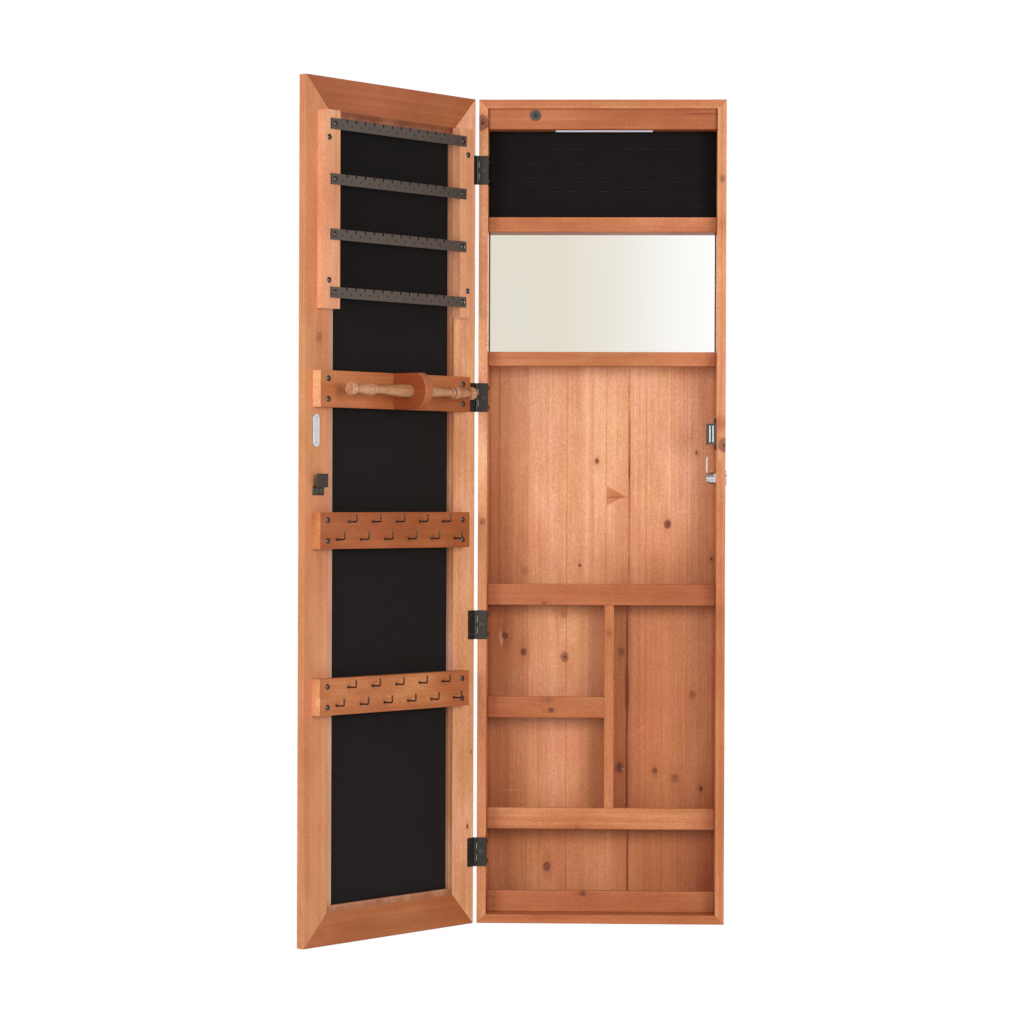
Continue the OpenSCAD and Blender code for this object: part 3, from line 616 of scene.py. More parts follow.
def magnet(name):
    """A dark magnet between two bright steel plates."""
    t = Material(name)
    v = t.object_coords()
    lo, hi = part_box("catch_magnet")
    x, _, _ = t.split(v)
    fine = t.grain(v, (900, 900, 200), 3, 0.6)
    off = t.abs(t.sub(x, (lo[0] + hi[0]) / 2))
    steel = t.span(off, 0.0011, 0.0014)
    poles = t.mix(fine, POLE_BRIGHT, POLE_DULL)
    t.look("Base Color", t.mix(steel, MAGNET_BLACK, poles))
    t.look("Metallic", steel)
    t.look("Roughness", t.madd(fine, 0.2, 0.22))
    t.look("Normal", t.bump(fine, 0.00004, 0.4))
    return t.material


def mirror_glass(name, tint):
    t = Material(name)
    v = t.object_coords()
    haze = t.noise(v, 9, 3, 0.6)
    dust = t.span(t.noise(v, 700, 2, 0.6), 0.66, 0.76)
    t.look("Base Color", t.mix(t.mul(haze, 0.06), tint, (0.8, 0.82, 0.8)))
    t.look("Metallic", 1)
    t.look("Roughness", t.add(t.mul(dust, 0.02), t.mul(haze, 0.02)))
    t.look("Coat Weight", 0.4)
    t.look("Coat Roughness", 0.01)
    return t.material


SLIT_ROWS, SLIT_COLS = 5, 9
SLIT_FIRST_Z = 1.05
SLIT_PITCH_X, SLIT_PITCH_Z = 0.0348, 0.021
SLIT_L = 0.024
FELT_BLACK = (0.0119, 0.0099, 0.0096)
FELT_TOP_SHADE = (0.001, 0.001, 0.001)
LINT = (0.075, 0.066, 0.06)
SLIT_SHINE = (0.04, 0.037, 0.034)


def slit_shine(t, base, v, x, z):
    """Painted highlight: a paler line along one cut edge of each slit, where the fluffier cloth catches the
    light.
    """
    column = t.fract(t.add(t.div(x, SLIT_PITCH_X), 100.5))
    within = t.span(t.abs(t.sub(column, 0.5)), 0.36, 0.32)
    row = t.fract(t.div(t.sub(z, SLIT_FIRST_Z - SLIT_PITCH_Z / 2), SLIT_PITCH_Z))
    lip = ridge(t, t.mul(t.sub(row, 0.5), SLIT_PITCH_Z), -0.0009, 0.0006)
    lip = t.mul(lip, t.math("LESS_THAN", z, SLIT_FIRST_Z + (SLIT_ROWS - 0.5) * SLIT_PITCH_Z))
    worn = t.span(t.grain(v, (60, 1, 25), 3, 0.6), 0.38, 0.66)
    return t.mix(t.mul(t.mul(lip, within), worn), base, SLIT_SHINE)


def felt(name, color=FELT_BLACK, slits=False):
    t = Material(name)
    v = t.object_coords()
    fuzz = t.noise(v, 900, 4, 0.72)
    hairs = t.grain(v, (450, 450, 1980), 2, 0.6)
    patch = t.noise(v, 22, 3, 0.55)
    lint = t.span(t.noise(v, 1500, 1, 0.5), 0.76, 0.82)
    base = t.mix(t.mul(fuzz, 0.8), times(color, 0.55), times(color, 1.6))
    base = t.mix(t.mul(patch, 0.35), base, times(color, 1.35))
    base = t.mix(t.mul(lint, 0.3), base, LINT)
    x, _, z = t.split(v)
    if slits:
        base = slit_shine(t, base, v, x, z)
    else:
        # Painted shade: the door's felt is painted darker near its top, where the earring bars shade it.
        base = t.mix(t.ease(z, 0.78, 0.96, 0, 0.34), base, FELT_TOP_SHADE)
    t.look("Base Color", base)
    t.look("Roughness", 0.95)
    t.look("Specular IOR Level", 0.08)
    t.look("Sheen Weight", 0.03)
    t.look("Sheen Roughness", 0.5)
    t.look("Normal", t.bump(t.madd(hairs, 0.6, fuzz), 0.0006, 0.8))
    return t.material


def plastic(name, color, rough):
    t = Material(name)
    v = t.object_coords()
    fine = t.noise(v, 700, 3, 0.6)
    patch = t.noise(v, 60, 3, 0.6)
    t.look("Base Color", t.mix(t.mul(patch, 0.5), color, times(color, 0.72)))
    t.look("Roughness", t.add(t.mul(fine, 0.18), rough - 0.09))
    t.look("Normal", t.bump(fine, 0.00005, 0.5))
    return t.material


def diffuser(name):
    t = Material(name)
    v = t.object_coords()
    rib = t.grain(v, (900, 90, 90), 1)
    t.look("Base Color", t.mix(rib, (0.82, 0.82, 0.93), (0.74, 0.74, 0.9)))
    t.look("Roughness", 0.3)
    # Painted glow: a faint emission makes the diffuser look brighter than its colour alone.
    t.look("Emission Color", (0.86, 0.86, 1, 1))
    t.look("Emission Strength", 0.22)
    return t.material


def fibreboard(name):
    t = Material(name)
    v = t.object_coords()
    fibre = t.noise(v, 500, 4, 0.7)
    patch = t.noise(v, 20, 3, 0.5)
    base = t.mix(fibre, (0.36, 0.24, 0.15), (0.22, 0.14, 0.085))
    t.look("Base Color", t.mix(t.mul(patch, 0.4), base, (0.28, 0.18, 0.11)))
    t.look("Roughness", 0.8)
    t.look("Normal", t.bump(fibre, 0.0001, 0.5))
    return t.material


# ---- Shapes made here

def new_piece(name, bm, material, body, node):
    """Turns a bmesh into a smooth piece that rides on a body and stands for a CAD node."""
    bmesh.ops.recalc_face_normals(bm, faces=bm.faces)
    me = bpy.data.meshes.new(name)
    bm.to_mesh(me)
    bm.free()
    me.shade_smooth()
    me.set_sharp_from_angle(angle=math.radians(50))
    me.materials.append(material)
    o = bpy.data.objects.new(name, me)
    scene.collection.objects.link(o)
    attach(o, body)
    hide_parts(node)
    return o


def solids(name):
    """The corners of each separate solid in a CAD node."""
    me = nodes[name].data
    keys = [tuple(round(c, 6) for c in v.co) for v in me.vertices]
    above = {k: k for k in keys}

    def top(k):
        while above[k] != k:
            above[k] = above[above[k]]
            k = above[k]
        return k

    for face in me.polygons:
        first = top(keys[face.vertices[0]])
        for i in face.vertices[1:]:
            above[top(keys[i])] = first
    groups = {}
    for k in sorted(above):
        groups.setdefault(top(k), []).append(k)
    return [np.array(g) for g in groups.values()]


def screw_place(corners):
    """A CAD screw's seat (the middle of its head's widest circle), direction, head radius and length."""
    middle = corners.mean(axis=0)
    _, ways = np.linalg.eigh(np.cov((corners - middle).T))
    way = ways[:, 2]
    along = (corners - middle) @ way
    out = np.linalg.norm(corners - middle - np.outer(along, way), axis=1)
    if along[out.argmax()] > 0:
        way, along = -way, -along
    seat = along[out > out.max() - 2e-5].min()
    return Vector(middle + way * seat), Vector(way), float(out.max()), float(along.max() - seat)


# Screws are shaped in millimetres. A head wider than this, in metres, is a raised one; the others are sunk.
RAISED_HEAD_R = 0.00315
HEAD_RINGS = (0, 0.2, 0.35, 0.45, 0.6, 0.85, 1.1, 1.35, 1.6, 1.8, 1.95, 2.1)
CORE_R, THREAD_R = 1.12, 1.5
THREAD_PITCH = 1.1
ROUND_SEGMENTS = 40


def recess_depth(x, y):
    """Depth of a cross recess at a point of the head, in millimetres."""
    deep = 0
    for a, b in ((abs(x), abs(y)), (abs(y), abs(x))):
        arm = max(0, min(1, (0.52 - b) / 0.14)) * max(0, min(1, (1.95 - a) / 0.35))
        deep = max(deep, arm)
    return 1.05 * deep


def screw_rings(r, raised, length):
    """Radius and height of each ring of a screw; the height is None where the head's own shape gives it."""
    rings = [(s, None) for s in HEAD_RINGS]
    if raised:
        rings += [(q * r, None) for q in (0.7, 0.78, 0.86, 0.92, 0.96, 0.985)]
        rings += [(r, -0.42), (r, -0.08), (r - 0.08, 0), (THREAD_R, 0)]
    else:
        rings += [(q * r, None) for q in (0.78, 0.86, 0.94)]
        rings += [(r, 0.06), (THREAD_R, 1.4)]
    start = rings[-1][1]
    for k in range(int((length - start - 2.4) / THREAD_PITCH)):
        z = start + 0.3 + k * THREAD_PITCH
        rings += [(CORE_R, z), (CORE_R, z + 0.45), (THREAD_R, z + 0.75), (CORE_R, z + 1.05)]
    return rings + [(1.1, length - 1.6), (0.5, length - 0.5), (0.02, length)]


def head_height(radius, r, raised):
    """Height of the head's surface at a radius: a dome when it is raised, nearly flat when it is sunk."""
    if raised:
        return -2 * math.sqrt(max(0, 1 - (radius / r) ** 2 * 0.96))
    return -0.1 * (1 - (radius / r) ** 2)


def join_rings(bm, before, after):
    count = len(after)
    for k in range(count):
        n = (k + 1) % count
        if len(before) == 1:
            bm.faces.new((before[0], after[k], after[n]))
        else:
            bm.faces.new((before[k], after[k], after[n], before[n]))


def screw(bm, place, way, head_r, length, turn):
    """Adds a wood screw: a raised or sunk head with a cross recess, and a threaded shank."""
    raised = head_r > RAISED_HEAD_R
    r = head_r * 1000
    spin = Matrix.Rotation(turn, 4, "Z")
    to_world = Matrix.Translation(place) @ way.to_track_quat("Z", "Y").to_matrix().to_4x4() @ spin
    previous = None
    for radius, z in screw_rings(r, raised, length * 1000):
        ring = []
        for k in range(ROUND_SEGMENTS if radius > 0 else 1):
            a = 2 * math.pi * k / ROUND_SEGMENTS
            x, y = radius * math.cos(a), radius * math.sin(a)
            h = head_height(radius, r, raised) + recess_depth(x, y) if z is None else z
            ring.append(bm.verts.new(to_world @ Vector((x / 1000, y / 1000, h / 1000))))
        if previous:
            join_rings(bm, previous, ring)
        previous = ring
    bm.faces.new(previous)


def screws(name, node, body, material, seed, grow=1):
    """Every screw of a CAD node as a real screw, each turned as it happened to stop."""
    rng = random.Random(seed)
    bm = bmesh.new()
    for corners in solids(node):
        place, way, head_r, length = screw_place(corners)
        if head_r > RAISED_HEAD_R:
            head_r *= grow
        screw(bm, place, way, head_r, length, rng.uniform(0, math.pi / 2))
    new_piece(name, bm, material, body, node)


def slab(bm, us, vs, place, front, back):
    """A closed slab on a grid: place(u, v, depth) is a point, front(u, v) its depth in front, back behind."""
    grid = [[bm.verts.new(place(u, v, front(u, v))) for u in us] for v in vs]
    for j in range(len(vs) - 1):
        for i in range(len(us) - 1):
            bm.faces.new((grid[j][i], grid[j][i + 1], grid[j + 1][i + 1], grid[j + 1][i]))
    rim = grid[0] + [row[-1] for row in grid[1:]] + grid[-1][-2::-1] + [row[0] for row in grid[-2:0:-1]]
    spots = [(u, vs[0]) for u in us] + [(us[-1], v) for v in vs[1:]]
    spots += [(u, vs[-1]) for u in us[-2::-1]] + [(us[0], v) for v in vs[-2:0:-1]]
    behind = [bm.verts.new(place(u, v, back)) for u, v in spots]
    for k in range(len(rim)):
        n = (k + 1) % len(rim)
        bm.faces.new((rim[k], rim[n], behind[n], behind[k]))
    bm.faces.new(behind)


def rolled(distance, radius):
    """How far a soft edge has rolled back at a distance from it."""
    if distance >= radius:
        return 0
    return radius * (1 - math.sqrt(max(0, 1 - (1 - distance / radius) ** 2)))


def marks(lo, hi, step, fine=(), ends=()):
    """Grid lines from lo to hi, about step apart, and closer at fine (centre, offsets) and at the ends."""
    near = {round(c + s * o, 6) for c, offsets in fine for o in offsets for s in (-1, 1)}
    near |= {round(lo + e, 6) for e in ends} | {round(hi - e, 6) for e in ends}
    count = round((hi - lo) / step)
    for k in range(count + 1):
        p = lo + (hi - lo) * k / count
        if all(abs(p - q) > step * 0.35 for q in near) or k in (0, count):
            near.add(round(p, 6))
    return sorted(q for q in near if lo - 1e-9 <= q <= hi + 1e-9)


ROLL_R = 0.004


def ring_cushion(material):
    """The ring pad: foam under cloth, rolled over at its edges, a little crowned, with lipped slits."""
    (x0, y0, z0), (x1, y1, z1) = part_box("ring_pad")
    slit_x = [(k - (SLIT_COLS - 1) / 2) * SLIT_PITCH_X for k in range(SLIT_COLS)]
    slit_z = [SLIT_FIRST_Z + k * SLIT_PITCH_Z for k in range(SLIT_ROWS)]
    ends = (0, 0.00015, 0.0005, 0.0011, 0.0018, 0.0028, 0.0042)
    across = (0, *(SLIT_L / 2 + extra for extra in (-0.003, -0.0012, -0.0004, 0.0004, 0.0018)))
    upwards = (0, 0.00018, 0.00045, 0.0009, 0.0015, 0.0024, 0.004)
    us = marks(x0, x1, 0.003, [(c, across) for c in slit_x], ends)
    vs = marks(z0, z1, 0.003, [(c, upwards) for c in slit_z], ends)
    mid_x, mid_z = (x0 + x1) / 2, (z0 + z1) / 2

    def front(x, z):
        depth = rolled(min(x - x0, x1 - x, z - z0, z1 - z), ROLL_R)
        off_x, off_z = (x - mid_x) / (x1 - mid_x), (z - mid_z) / (z1 - mid_z)
        depth += 0.0014 * (1 - (1 - off_x ** 2) * (1 - off_z ** 2))
        column = min(slit_x, key=lambda c: abs(c - x))
        row = min(slit_z, key=lambda c: abs(c - z))
        along = max(0, min(1, (SLIT_L / 2 - abs(x - column)) / 0.0016))
        off = abs(z - row)
        depth += 0.007 * along * math.exp(-(off / 0.00038) ** 2)
        depth -= 0.0006 * along * math.exp(-((off - 0.0013) / 0.0008) ** 2)
        depth += 0.0005 * along * math.exp(-(off / 0.0045) ** 2)
        depth += 0.00035 * (noise.noise(Vector((x * 30, 0, z * 30))) + 1)
        return depth + 0.0006

    bm = bmesh.new()
    slab(bm, us, vs, lambda x, z, depth: Vector((x, y0 + depth, z)), front, y1 - y0)
    pad = new_piece("ring_cushion", bm, material, "cabinet", "ring_pad")


def closed_box(name):
    """A door node's lowest and highest corners when the door is closed."""
    turn = Matrix.Rotation(door_angle, 3, "Z")
    pivot = Vector((hinge_x, hinge_y, 0))
    corners = [turn @ (v.co - pivot) + pivot for v in nodes[name].data.vertices]
    return [min(c[i] for c in corners) for i in range(3)], [max(c[i] for c in corners) for i in range(3)]


def on_open_door(point):
    """A point of the closed door, where it is at rest."""
    pivot = Vector((hinge_x, hinge_y, 0))
    return Matrix.Rotation(-door_angle, 3, "Z") @ (point - pivot) + pivot


# Half of the turned spindle, from its middle outwards: distance and radius in millimetres.
TURNED = (
    (0, 8.95), (20, 8.95), (24, 9), (28, 8.85), (33, 8.5), (39, 8), (45, 7.4), (51, 6.8), (57, 6.3),
    (63, 5.9), (69, 5.7), (74, 5.65), (78, 5.75), (79.4, 5.9), (79.8, 6.6), (80.6, 7.1), (82, 7.4),
    (83.6, 7.3), (84.8, 6.8), (85.3, 6.2), (86.6, 6.2), (87, 7.6), (87.6, 8.5), (89, 8.85), (91, 8.85),
    (94, 8.5), (98, 7.8), (103, 6.9), (108, 6.2), (113, 5.75), (117, 5.7), (119, 5.9), (120.2, 6.4),
    (120.7, 7.8), (121.6, 8.6), (123.4, 8.95), (127.6, 8.95), (129.8, 8.6), (131, 7.8), (131.3, 7),
    (131.2, 6.2), (130.8, 5.6), (130.9, 5), (131.2, 2.5), (131.2, 0.1)
)


def spindle(material):
    """The turned spindle: a tapered grip either side of its bracket, a bead, a shoulder, a neck, a knob."""
    (x0, y0, z0), (x1, y1, z1) = closed_box("bracelet_spindle")
    middle = Vector(((x0 + x1) / 2, (y0 + y1) / 2, (z0 + z1) / 2))
    outline = [(-s, r) for s, r in reversed(TURNED[1:])] + list(TURNED)
    bm = bmesh.new()
    previous = None
    for s, r in outline:
        ring = []
        for k in range(ROUND_SEGMENTS):
            a = 2 * math.pi * k / ROUND_SEGMENTS
            out = Vector((s, r * math.cos(a), r * math.sin(a))) / 1000
            ring.append(bm.verts.new(on_open_door(middle + out)))
        if previous:
            join_rings(bm, previous, ring)
        else:
            bm.faces.new(ring)
        previous = ring
    bm.faces.new(previous)
    new_piece("turned_spindle", bm, material, "door", "bracelet_spindle")


def felt_panel(material):
    """The felt on its board: flat, with the faint waves and soft rim of cloth that is glued down."""
    (x0, y0, z0), (x1, y1, z1) = closed_box("felt_board")
    us = marks(x0, x1, 0.006, ends=(0, 0.0003, 0.0009, 0.0018))
    vs = marks(z0, z1, 0.006, ends=(0, 0.0003, 0.0009, 0.0018))

    def front(x, z):
        wave = noise.noise(Vector((x * 14, 0.7, z * 9))) + 0.5 * noise.noise(Vector((x * 60, 1.9, z * 50)))
        return rolled(min(x - x0, x1 - x, z - z0, z1 - z), 0.0008) + 0.00012 * (wave + 1.5)

    bm = bmesh.new()
    slab(bm, us, vs, lambda x, z, depth: on_open_door(Vector((x, y1 - depth, z))), front, y1 - y0)
    new_piece("felt_panel", bm, material, "door", "felt_board")


# ---- Working on the CAD pieces

WELD_GAP = 0.00001


def dress(material, *names):
    for name in names:
        data = nodes[name].data
        data.materials.clear()
        data.materials.append(material)


def weld(name):
    """Joins the CAD mesh's doubled corners, so that a modifier after it sees whole edges."""
    modifier = nodes[name].modifiers.new("weld", "WELD")
    modifier.merge_threshold = WELD_GAP


def soften(names, width):
    """Takes the sharp edges off CAD boards without touching their meshes."""
    for name in names:
        weld(name)
        bevel = nodes[name].modifiers.new("bevel", "BEVEL")
        bevel.width = width
        bevel.segments = 2
        bevel.limit_method = "ANGLE"
        bevel.angle_limit = math.radians(40)
        bevel.harden_normals = True


def thicken(name, amount):
    """Makes thin wire a little fuller than its plain CAD tube."""
    weld(name)
    fuller = nodes[name].modifiers.new("fuller", "DISPLACE")
    fuller.mid_level = 0
    fuller.strength = amount


# ---- Which piece is made of what

# What is seen on the back; wood() says what each number is.
BACK_STAVES = (0.1, [(-0.109, 0.02), (-0.0515, 0.04), (0.0075, 0.07), (0.066, 0.1), (0.127, 0.06)])
BACK_LINES = [
    (0.04, 0.001, 3, 0, 0.139), (0.0385, 0.0011, 3, 0.139, 0.468),
    (0.0385, 0.0021, 3, 0.3, 0.392), (0.041, 0.0014, 1.5, 0.64, 0.76),
    (0.041, 0.001, 0.8, 0.5, 0.7), (0.0405, 0.0008, 0.5, 0.46, 0.83),
    (0.04, 0.005, 0.25, 0, 0.83), (0.047, 0.0014, 0.25, 0.46, 0.83),
    (-0.0517, 0.0008, 0.4, 0, 0.83), (0.0664, 0.0007, 0.28, 0, 0.83),
    (-0.1517, 0.0014, 0.35, 0.46, 0.83), (0.1025, 0.0008, 0.25, 0.46, 0.83),
    (0.007, 0.0006, 0.3, 0.46, 0.83), (-0.014, 0.001, 0.2, 0.46, 0.83)
]
BACK_KNOTS = [
    (-0.007, 0.675, 0.003, 1), (0.098, 0.582, 0.005, 1), (-0.032, 0.5205, 0.0018, 1),
    (-0.113, 0.512, 0.005, 0.25), (0.14, 0.688, 0.0025, 0.6), (0.1625, 0.531, 0.0018, 1),
    (-0.1425, 0.4165, 0.0042, 1), (-0.115, 0.392, 0.0042, 1), (-0.054, 0.3845, 0.0055, 0.75),
    (-0.0555, 0.4475, 0.005, 0.2), (0.0305, 0.393, 0.005, 0.6), (0.1355, 0.33, 0.0048, 0.5),
    (0.028, 0.222, 0.006, 0.8), (0.08, 0.217, 0.0034, 1), (0.11, 0.206, 0.005, 0.6),
    (0.1485, 0.1905, 0.0026, 1), (-0.079, 0.074, 0.005, 1)
]
# Soft stain patches on the back; those beside the right side board and just left of the divider are partly
# painted shade.
BACK_STAINS_AND_SHADE = [
    (0.095, 0.29, 0.075, 0.2, 0.3), (0.025, 0.3, 0.014, 0.22, 0.34), (-0.15, 0.21, 0.032, 0.1, 0.5),
    (-0.15, 0.41, 0.032, 0.08, 0.5), (0.1, 0.075, 0.07, 0.06, 0.42),
    (-0.08, 0.11, 0.09, 0.03, 0.25), (0.105, 0.5, 0.05, 0.04, 0.22),
    (-0.153, 0.62, 0.026, 0.16, 0.36), (-0.01, 0.7, 0.06, 0.1, 0.07),
    (-0.045, 0.4, 0.035, 0.05, -0.2), (-0.06, 0.22, 0.03, 0.06, -0.04),
    (0.16, 0.33, 0.015, 0.12, -0.2), (0.16, 0.06, 0.012, 0.05, 0.5), (0.158, 0.66, 0.014, 0.16, 0.16),
    (-0.005, 0.22, 0.016, 0.09, 0.32), (-0.005, 0.39, 0.016, 0.07, 0.08),
    (-0.1, 0.075, 0.07, 0.06, 0.15), (-0.04, 0.54, 0.05, 0.04, -0.18)
]
BACK_CHIPS = [
    (-0.149, 0.41, 0.0035, 0.014), (-0.139, 0.425, 0.003, 0.006), (-0.0645, 0.372, 0.0018, 0.002),
    (0.048, 0.187, 0.0014, 0.0014), (0.033, 0.2186, 0.003, 0.0016), (-0.132, 0.187, 0.015, 0.0008),
    (-0.022, 0.614, 0.0012, 0.02), (-0.0975, 0.687, 0.003, 0.0035), (-0.15, 0.33, 0.015, 0.0008)
]
# The sides are painted darker towards the floor, as painted shade, and their marks are on the front edge only.
SIDE_SHADE_FALLOFF = [(0.8, 0.42, 0.36)]
SIDE_FRONT = (-0.07, -0.088)
# Wood with other undertones: the beads are nearly bare, some boards on the door are a deeper orange.
BARE = (0.61, 0.366, 0.29)
DEEP = (0.72, 0.336, 0.175)
SPINDLE_PALE = (0.66, 0.41, 0.285)


def rail_edge_light_and_shade(*names):
    """The edges of boards that lie across: a painted highlight along the top edge and a painted shade line
    along the bottom one.
    """
    edges = []
    for name in names:
        for corners in solids(name):
            edges += [("across", corners[:, 2].min(), 0.0011, 0.55),
                ("across", corners[:, 2].max(), 0.0009, -0.22)]
    return edges


def side_boards():
    dress(wood("wood_side_left", 0.24, seed=3, near=SIDE_FRONT, through=False, heart=(-0.12, -0.25),
        shade_falloff=SIDE_SHADE_FALLOFF, stains=[(-0.173, 0.66, 0.05, 0.12, -0.22)],
        knots=[(-0.173, 0.585, 0.004, 0.5), (-0.176, 1.166, 0.009, 1)]), "side_left")
    dress(wood("wood_side_right", 0.38, seed=5, near=SIDE_FRONT, through=False, heart=(0.26, -0.25),
        shade_falloff=SIDE_SHADE_FALLOFF, knots=[(0.178, 0.698, 0.008, 0.8), (0.174, 1.085, 0.004, 0.5)],
        chips=[(0.172, 0.683, 0.004, 0.008)],
        stains=[(0.173, 1.02, 0.05, 0.012, 0.3), (0.173, 0.73, 0.05, 0.01, 0.5),
        (0.173, 0.45, 0.05, 0.02, 0.25)]), "side_right")
    dress(wood("wood_top", 0.85, grain="x", seed=7, heart=(1.1, -0.2)), "top_board")
    dress(wood("wood_bottom", 0.95, grain="x", seed=8, heart=(0.1, -0.2)), "bottom_board")


def back_boards():
    """The back, with painted shade in its corners, along the shelves and towards its bottom, over thin dark
    joints, and the rail it hangs from.
    """
    low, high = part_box("back_panel")
    # Painted shade over dark joints: thin dark lines where the back meets the side boards and shelves, and
    # wider painted shade in its corners and under the shelves.
    pools_and_painted_light = [("across", low[0], 0.0028, 0.75), ("across", high[0], 0.0028, 0.75),
        ("across", low[0], 0.016, 0.14), ("across", high[0], 0.02, 0.14)]
    for name in ("mirror_shelf", "tray_shelves"):
        for corners in solids(name):
            under, above = corners[:, 2].min(), corners[:, 2].max()
            pools_and_painted_light += [("along", under - 0.0004, 0.0014, 0.6), ("along", above + 0.0004, 0.0012, 0.4),
                ("along", under, 0.013, 0.22)]
    # Painted shade: the back is painted darker towards its bottom with shade_falloff.
    dress(wood("wood_back", seed=11, heart=(0.02, 0.1), ring=0.0046, rings=0.15, blotch=0.9, streaky=0.85,
        staves=BACK_STAVES, lines=BACK_LINES, knots=BACK_KNOTS,
        wedges=[(0.0078, 0.0345, 0.6235, 0.0145)], scuffs=[(0.0608, 0.2793, 0.011)],
        shade_falloff=[(0.72, 0.44, 0.36)], pooled_and_painted_light=pools_and_painted_light, stains=BACK_STAINS_AND_SHADE, chips=BACK_CHIPS,
        near=(-0.0105, -0.0135)), "back_panel")
    dress(wood("wood_hanging", 0.4, grain="x", seed=13, heart=(1.2, 0.2)), "hanging_rail")


def rails_and_shelves():
    low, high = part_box("back_panel")
    # Where each rail meets a side board: a dark joint line, darkened further as painted shade.
    left_joint_and_shade = [("along", low[0], 0.0024, 0.6)]
    end_joints_and_shade = left_joint_and_shade + [("along", high[0], 0.0024, 0.6)]
    dress(wood("wood_top_rail", 1.22, grain="x", seed=15, heart=(1.17, -0.25),
        lines=[(1.18, 0.0007, 1.6, 0.115, 0.215)], pooled_and_painted_light=end_joints_and_shade + rail_edge_light_and_shade("top_rail")), "top_rail")
    dress(wood("wood_light_shelf", 1.2, grain="x", seed=16, heart=(1.1, -0.05)), "light_shelf")
    dress(wood("wood_ring_rail", 0.62, grain="x", seed=17, heart=(1.03, 0.12), blotch=1.3,
        pooled_and_painted_light=end_joints_and_shade + rail_edge_light_and_shade("ring_rail")), "ring_rail", "ring_shelf")
    dress(wood("wood_mirror_rail", 0.8, grain="x", seed=19, heart=(0.8, 0.1), blotch=1.4,
        pooled_and_painted_light=end_joints_and_shade + rail_edge_light_and_shade("mirror_rail")), "mirror_rail", "mirror_shelf")
    dress(wood("wood_tray_rails", 0.8, grain="x", seed=21, heart=(0, -0.15), cell=(0.01, 0.11),
        blotch=1.3, pooled_and_painted_light=end_joints_and_shade + rail_edge_light_and_shade("tray_rails"),
        stains=[(0.48, 0.02, 0.03, 0.25, 0.28), (0.48, 0.1, 0.03, 0.06, 0.15),
        (0.15, 0, 0.02, 0.25, -0.05), (0.03, 0, 0.03, 0.25, 0.22)],
        scuffs=[(0.4645, -0.07, 0.0022), (0.0404, 0.0186, 0.0026)],
        knots=[(0.466, -0.0835, 0.0018, 0.8), (0.135, -0.034, 0.003, 0.5),
        (0.04, -0.0255, 0.0036, 0.8)]), "tray_rails", "tray_shelves")
    dress(wood("wood_divider", 0.78, seed=23, heart=(0.012, 0.15), knots=[(0.012, 0.423, 0.0045, 0.3)]),
        "divider")
    dress(wood("wood_left_rail", 1, grain="x", seed=25, heart=(0.3, -0.1),
        pooled_and_painted_light=left_joint_and_shade + rail_edge_light_and_shade("left_rail"),
        knots=[(0.309, -0.073, 0.0032, 1), (0.3246, -0.079, 0.006, 0.3)]), "left_rail", "left_shelf")


def door_frame():
    dress(wood("wood_stile_hinge", 0.1, "door", seed=31, heart=(-0.15, -0.36),
        stains=[(-0.167, 1.02, 0.04, 0.2, -0.28)],
        knots=[(-0.167, 0.142, 0.0025, 1), (-0.1755, 0.25, 0.0022, 0.6)]), "door_stile_hinge")
    dress(wood("wood_stile_free", 0.5, "door", seed=33, heart=(0.16, -0.37),
        knots=[(0.15, 0.84, 0.005, 0.4)]), "door_stile_free")
    dress(wood("wood_door_top", 1.25, "door", "x", seed=35, heart=(1.12, -0.28), blotch=0.8),
        "door_rail_top")
    dress(wood("wood_door_bottom", 1.3, "door", "x", seed=37, heart=(0.1, -0.28), pale=DEEP),
        "door_rail_bottom")
    low, high = closed_box("door_beads")
    # Painted shade on the beads: darker along the hinge-side one, much darker along the top one, and darker
    # along the bottom one.
    pools_and_painted_light = [("across", low[0] + 0.003, 0.008, 0.75), ("along", high[2] - 0.003, 0.008, 1.9),
        ("along", low[2] + 0.003, 0.008, 0.8)]
    dress(wood("wood_beads", 0.25, "door", seed=39, heart=(0, -0.3), streaky=0.5, pale=BARE,
        pooled_and_painted_light=pools_and_painted_light), "door_beads")


def door_holders():
    dress(wood("wood_strips", 0.16, "door", seed=41, heart=(0, -0.24), cell=(-0.4, 0.4), ends=-0.6),
        "earring_strips")
    dress(wood("wood_bracelet", 1.13, "door", "x", seed=43, heart=(0.76, -0.2), blotch=1.3, pale=DEEP,
        ends=-0.9, stains=[(0.76, -0.158, 0.04, 0.028, 0.32)]), "bracelet_board")
    dress(wood("wood_bracket", 1.72, "door", "y", seed=45, heart=(0, 0.7), ring=0.0022, ends=-0.9),
        "bracelet_bracket")


# Painted shade in the spindle's grooves and a broad band of it on the taper, and painted highlight on its
# crests, in millimetres from its middle.
GROOVE_SHADE = (
    (79.3, 0.5, 0.9), (85.9, 0.6, 1.5), (117.5, 2.2, 0.45), (119.9, 0.4, 0.9), (131.2, 0.7, 0.5), (100, 9, 0.12)
)
CREST_HIGHLIGHTS = (82.2, 89.5, 124.5)


def spindle_wood():
    low, high = closed_box("bracelet_spindle")
    middle = (low[0] + high[0]) / 2
    pools_and_painted_light = []
    for s, width, strength in GROOVE_SHADE:
        pools_and_painted_light += [("along", middle + side * s / 1000, width / 1000, strength) for side in (-1, 1)]
    pools_and_painted_light += [("along", middle + side * s / 1000, 0.0016, -0.35) for side in (-1, 1) for s in CREST_HIGHLIGHTS]
    return wood("wood_spindle", 0.46, "door", "x", seed=47, heart=(0.76, -0.03), ring=0.0022,
        pale=SPINDLE_PALE, streaky=2.2, gloss=0.5, pooled_and_painted_light=pools_and_painted_light)


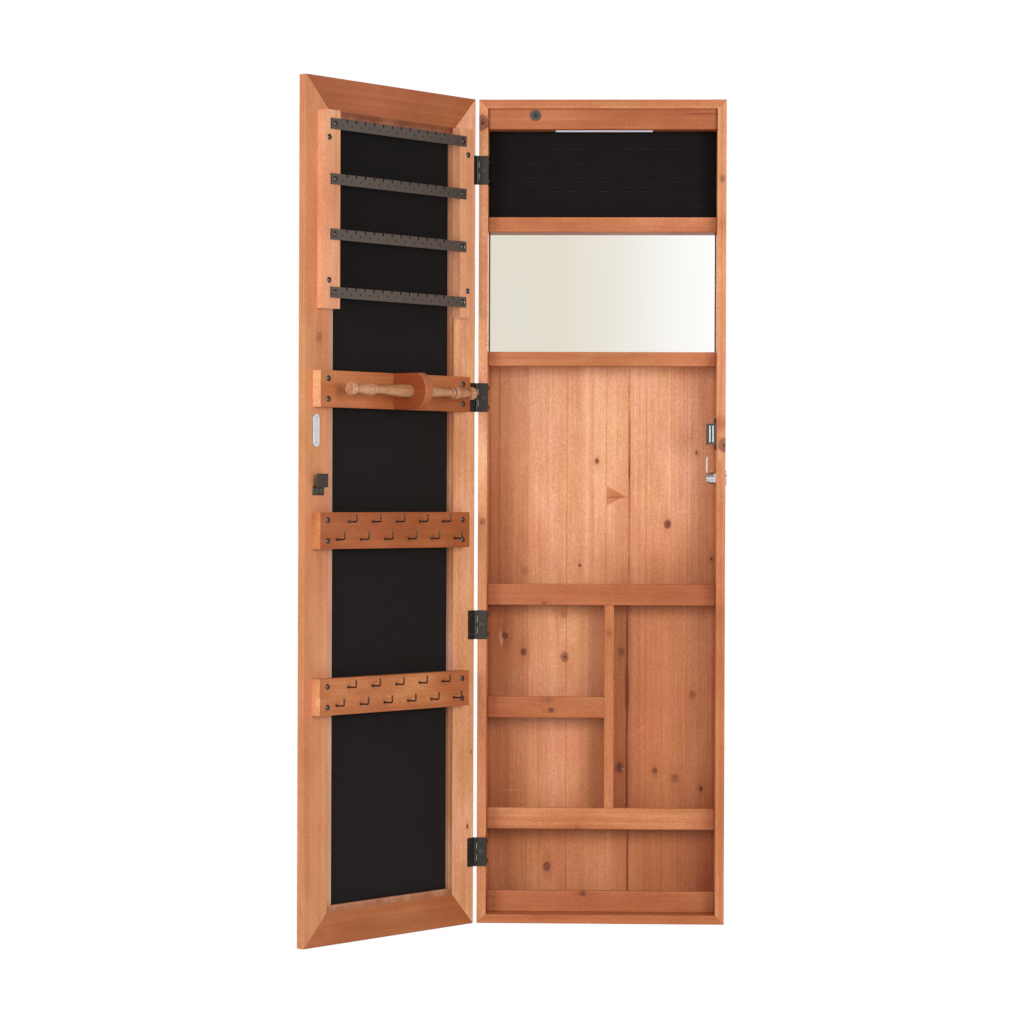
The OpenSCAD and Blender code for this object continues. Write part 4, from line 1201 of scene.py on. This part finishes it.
def hook_boards():
    dress(wood("wood_hook_rails", 1.25, "door", "x", seed=49, heart=(0, -0.2), cell=(0.24, 0.23),
        blotch=1.4, pale=DEEP, ends=-0.8, stains=[(0.345, 0, 0.03, 0.3, -0.4)]), "hook_rails")


def glass_and_felt():
    dress(fibreboard("fibreboard"), "ring_pad_board", "mirror_backing")
    dress(mirror_glass("small_mirror_glass", (0.945, 0.945, 0.935)), "small_mirror")
    dress(mirror_glass("door_mirror_glass", (0.88, 0.9, 0.9)), "door_mirror")
    dress(felt("black_felt"), "felt_board")


def metal_parts():
    dress(metal("bronze_hinges", (0.056, 0.052, 0.046), 0.4), "hinge_frame_leaves", "hinge_door_leaves",
        "hinge_pins")
    dress(metal("bronze_hooks", (0.058, 0.045, 0.036), 0.3), "hooks")
    dress(metal("bronze_keeper", (0.062, 0.052, 0.044), 0.26), "keeper")
    dress(pressed_bar("bronze_bars", (0.115, 0.094, 0.08)), "earring_bars")
    zinc = metal("zinc", (0.7, 0.71, 0.72), 0.2, speckle=0.1)
    dress(zinc, "lock_body", "lock_nut", "lock_plug", "lock_cam", "lock_cam_screw", "hanger_plates")
    dress(magnet("magnet_poles"), "catch_magnet")


def plastic_parts():
    dress(plastic("grey_plastic", (0.085, 0.078, 0.07), 0.45), "light_housing", "battery_holder")
    dress(plastic("dark_plastic", (0.042, 0.036, 0.034), 0.4), "catch_body")
    dress(plastic("switch_plastic", (0.066, 0.062, 0.052), 0.34), "switch_bezel")
    dress(plastic("button_plastic", (0.022, 0.021, 0.02), 0.25), "switch_button")
    dress(diffuser("diffuser"), "light_diffuser")
    dress(plastic("circuit", (0.04, 0.16, 0.07), 0.4), "light_circuit")
    dress(plastic("cell_sleeve", (0.08, 0.1, 0.14), 0.3), "battery_cells")


camera()
floor()
studio()
side_boards()
back_boards()
rails_and_shelves()
door_frame()
door_holders()
turned_wood = spindle_wood()
dress(turned_wood, "bracelet_spindle")
hook_boards()
glass_and_felt()
metal_parts()
strike_zinc = metal("zinc_strike", (0.62, 0.645, 0.665), 0.28, speckle=0.16)
dress(strike_zinc, "strike_plate")
plastic_parts()
screw_bronze = metal("bronze_screws", (0.11, 0.094, 0.084), 0.17)
screws("cabinet_wood_screws", "cabinet_screws", "cabinet", screw_bronze, 61)
screws("door_wood_screws", "door_screws", "door", screw_bronze, 62, grow=1.22)
screws("strike_wood_screws", "strike_screws", "door", strike_zinc, 63)
spindle(turned_wood)
ring_cushion(felt("black_pad", (0.0088, 0.0076, 0.0073), slits=True))
felt_panel(felt("door_felt"))
soften(["side_left", "side_right", "top_board", "bottom_board"], 0.0006)
soften(["top_rail", "ring_rail", "mirror_rail", "tray_rails", "left_rail", "divider"], 0.0008)
soften(["door_rail_top", "door_rail_bottom"], 0.0009)
soften(["earring_strips", "bracelet_bracket", "hook_rails"], 0.0007)
soften(["keeper", "strike_plate"], 0.0005)
thicken("hooks", 0.00022)
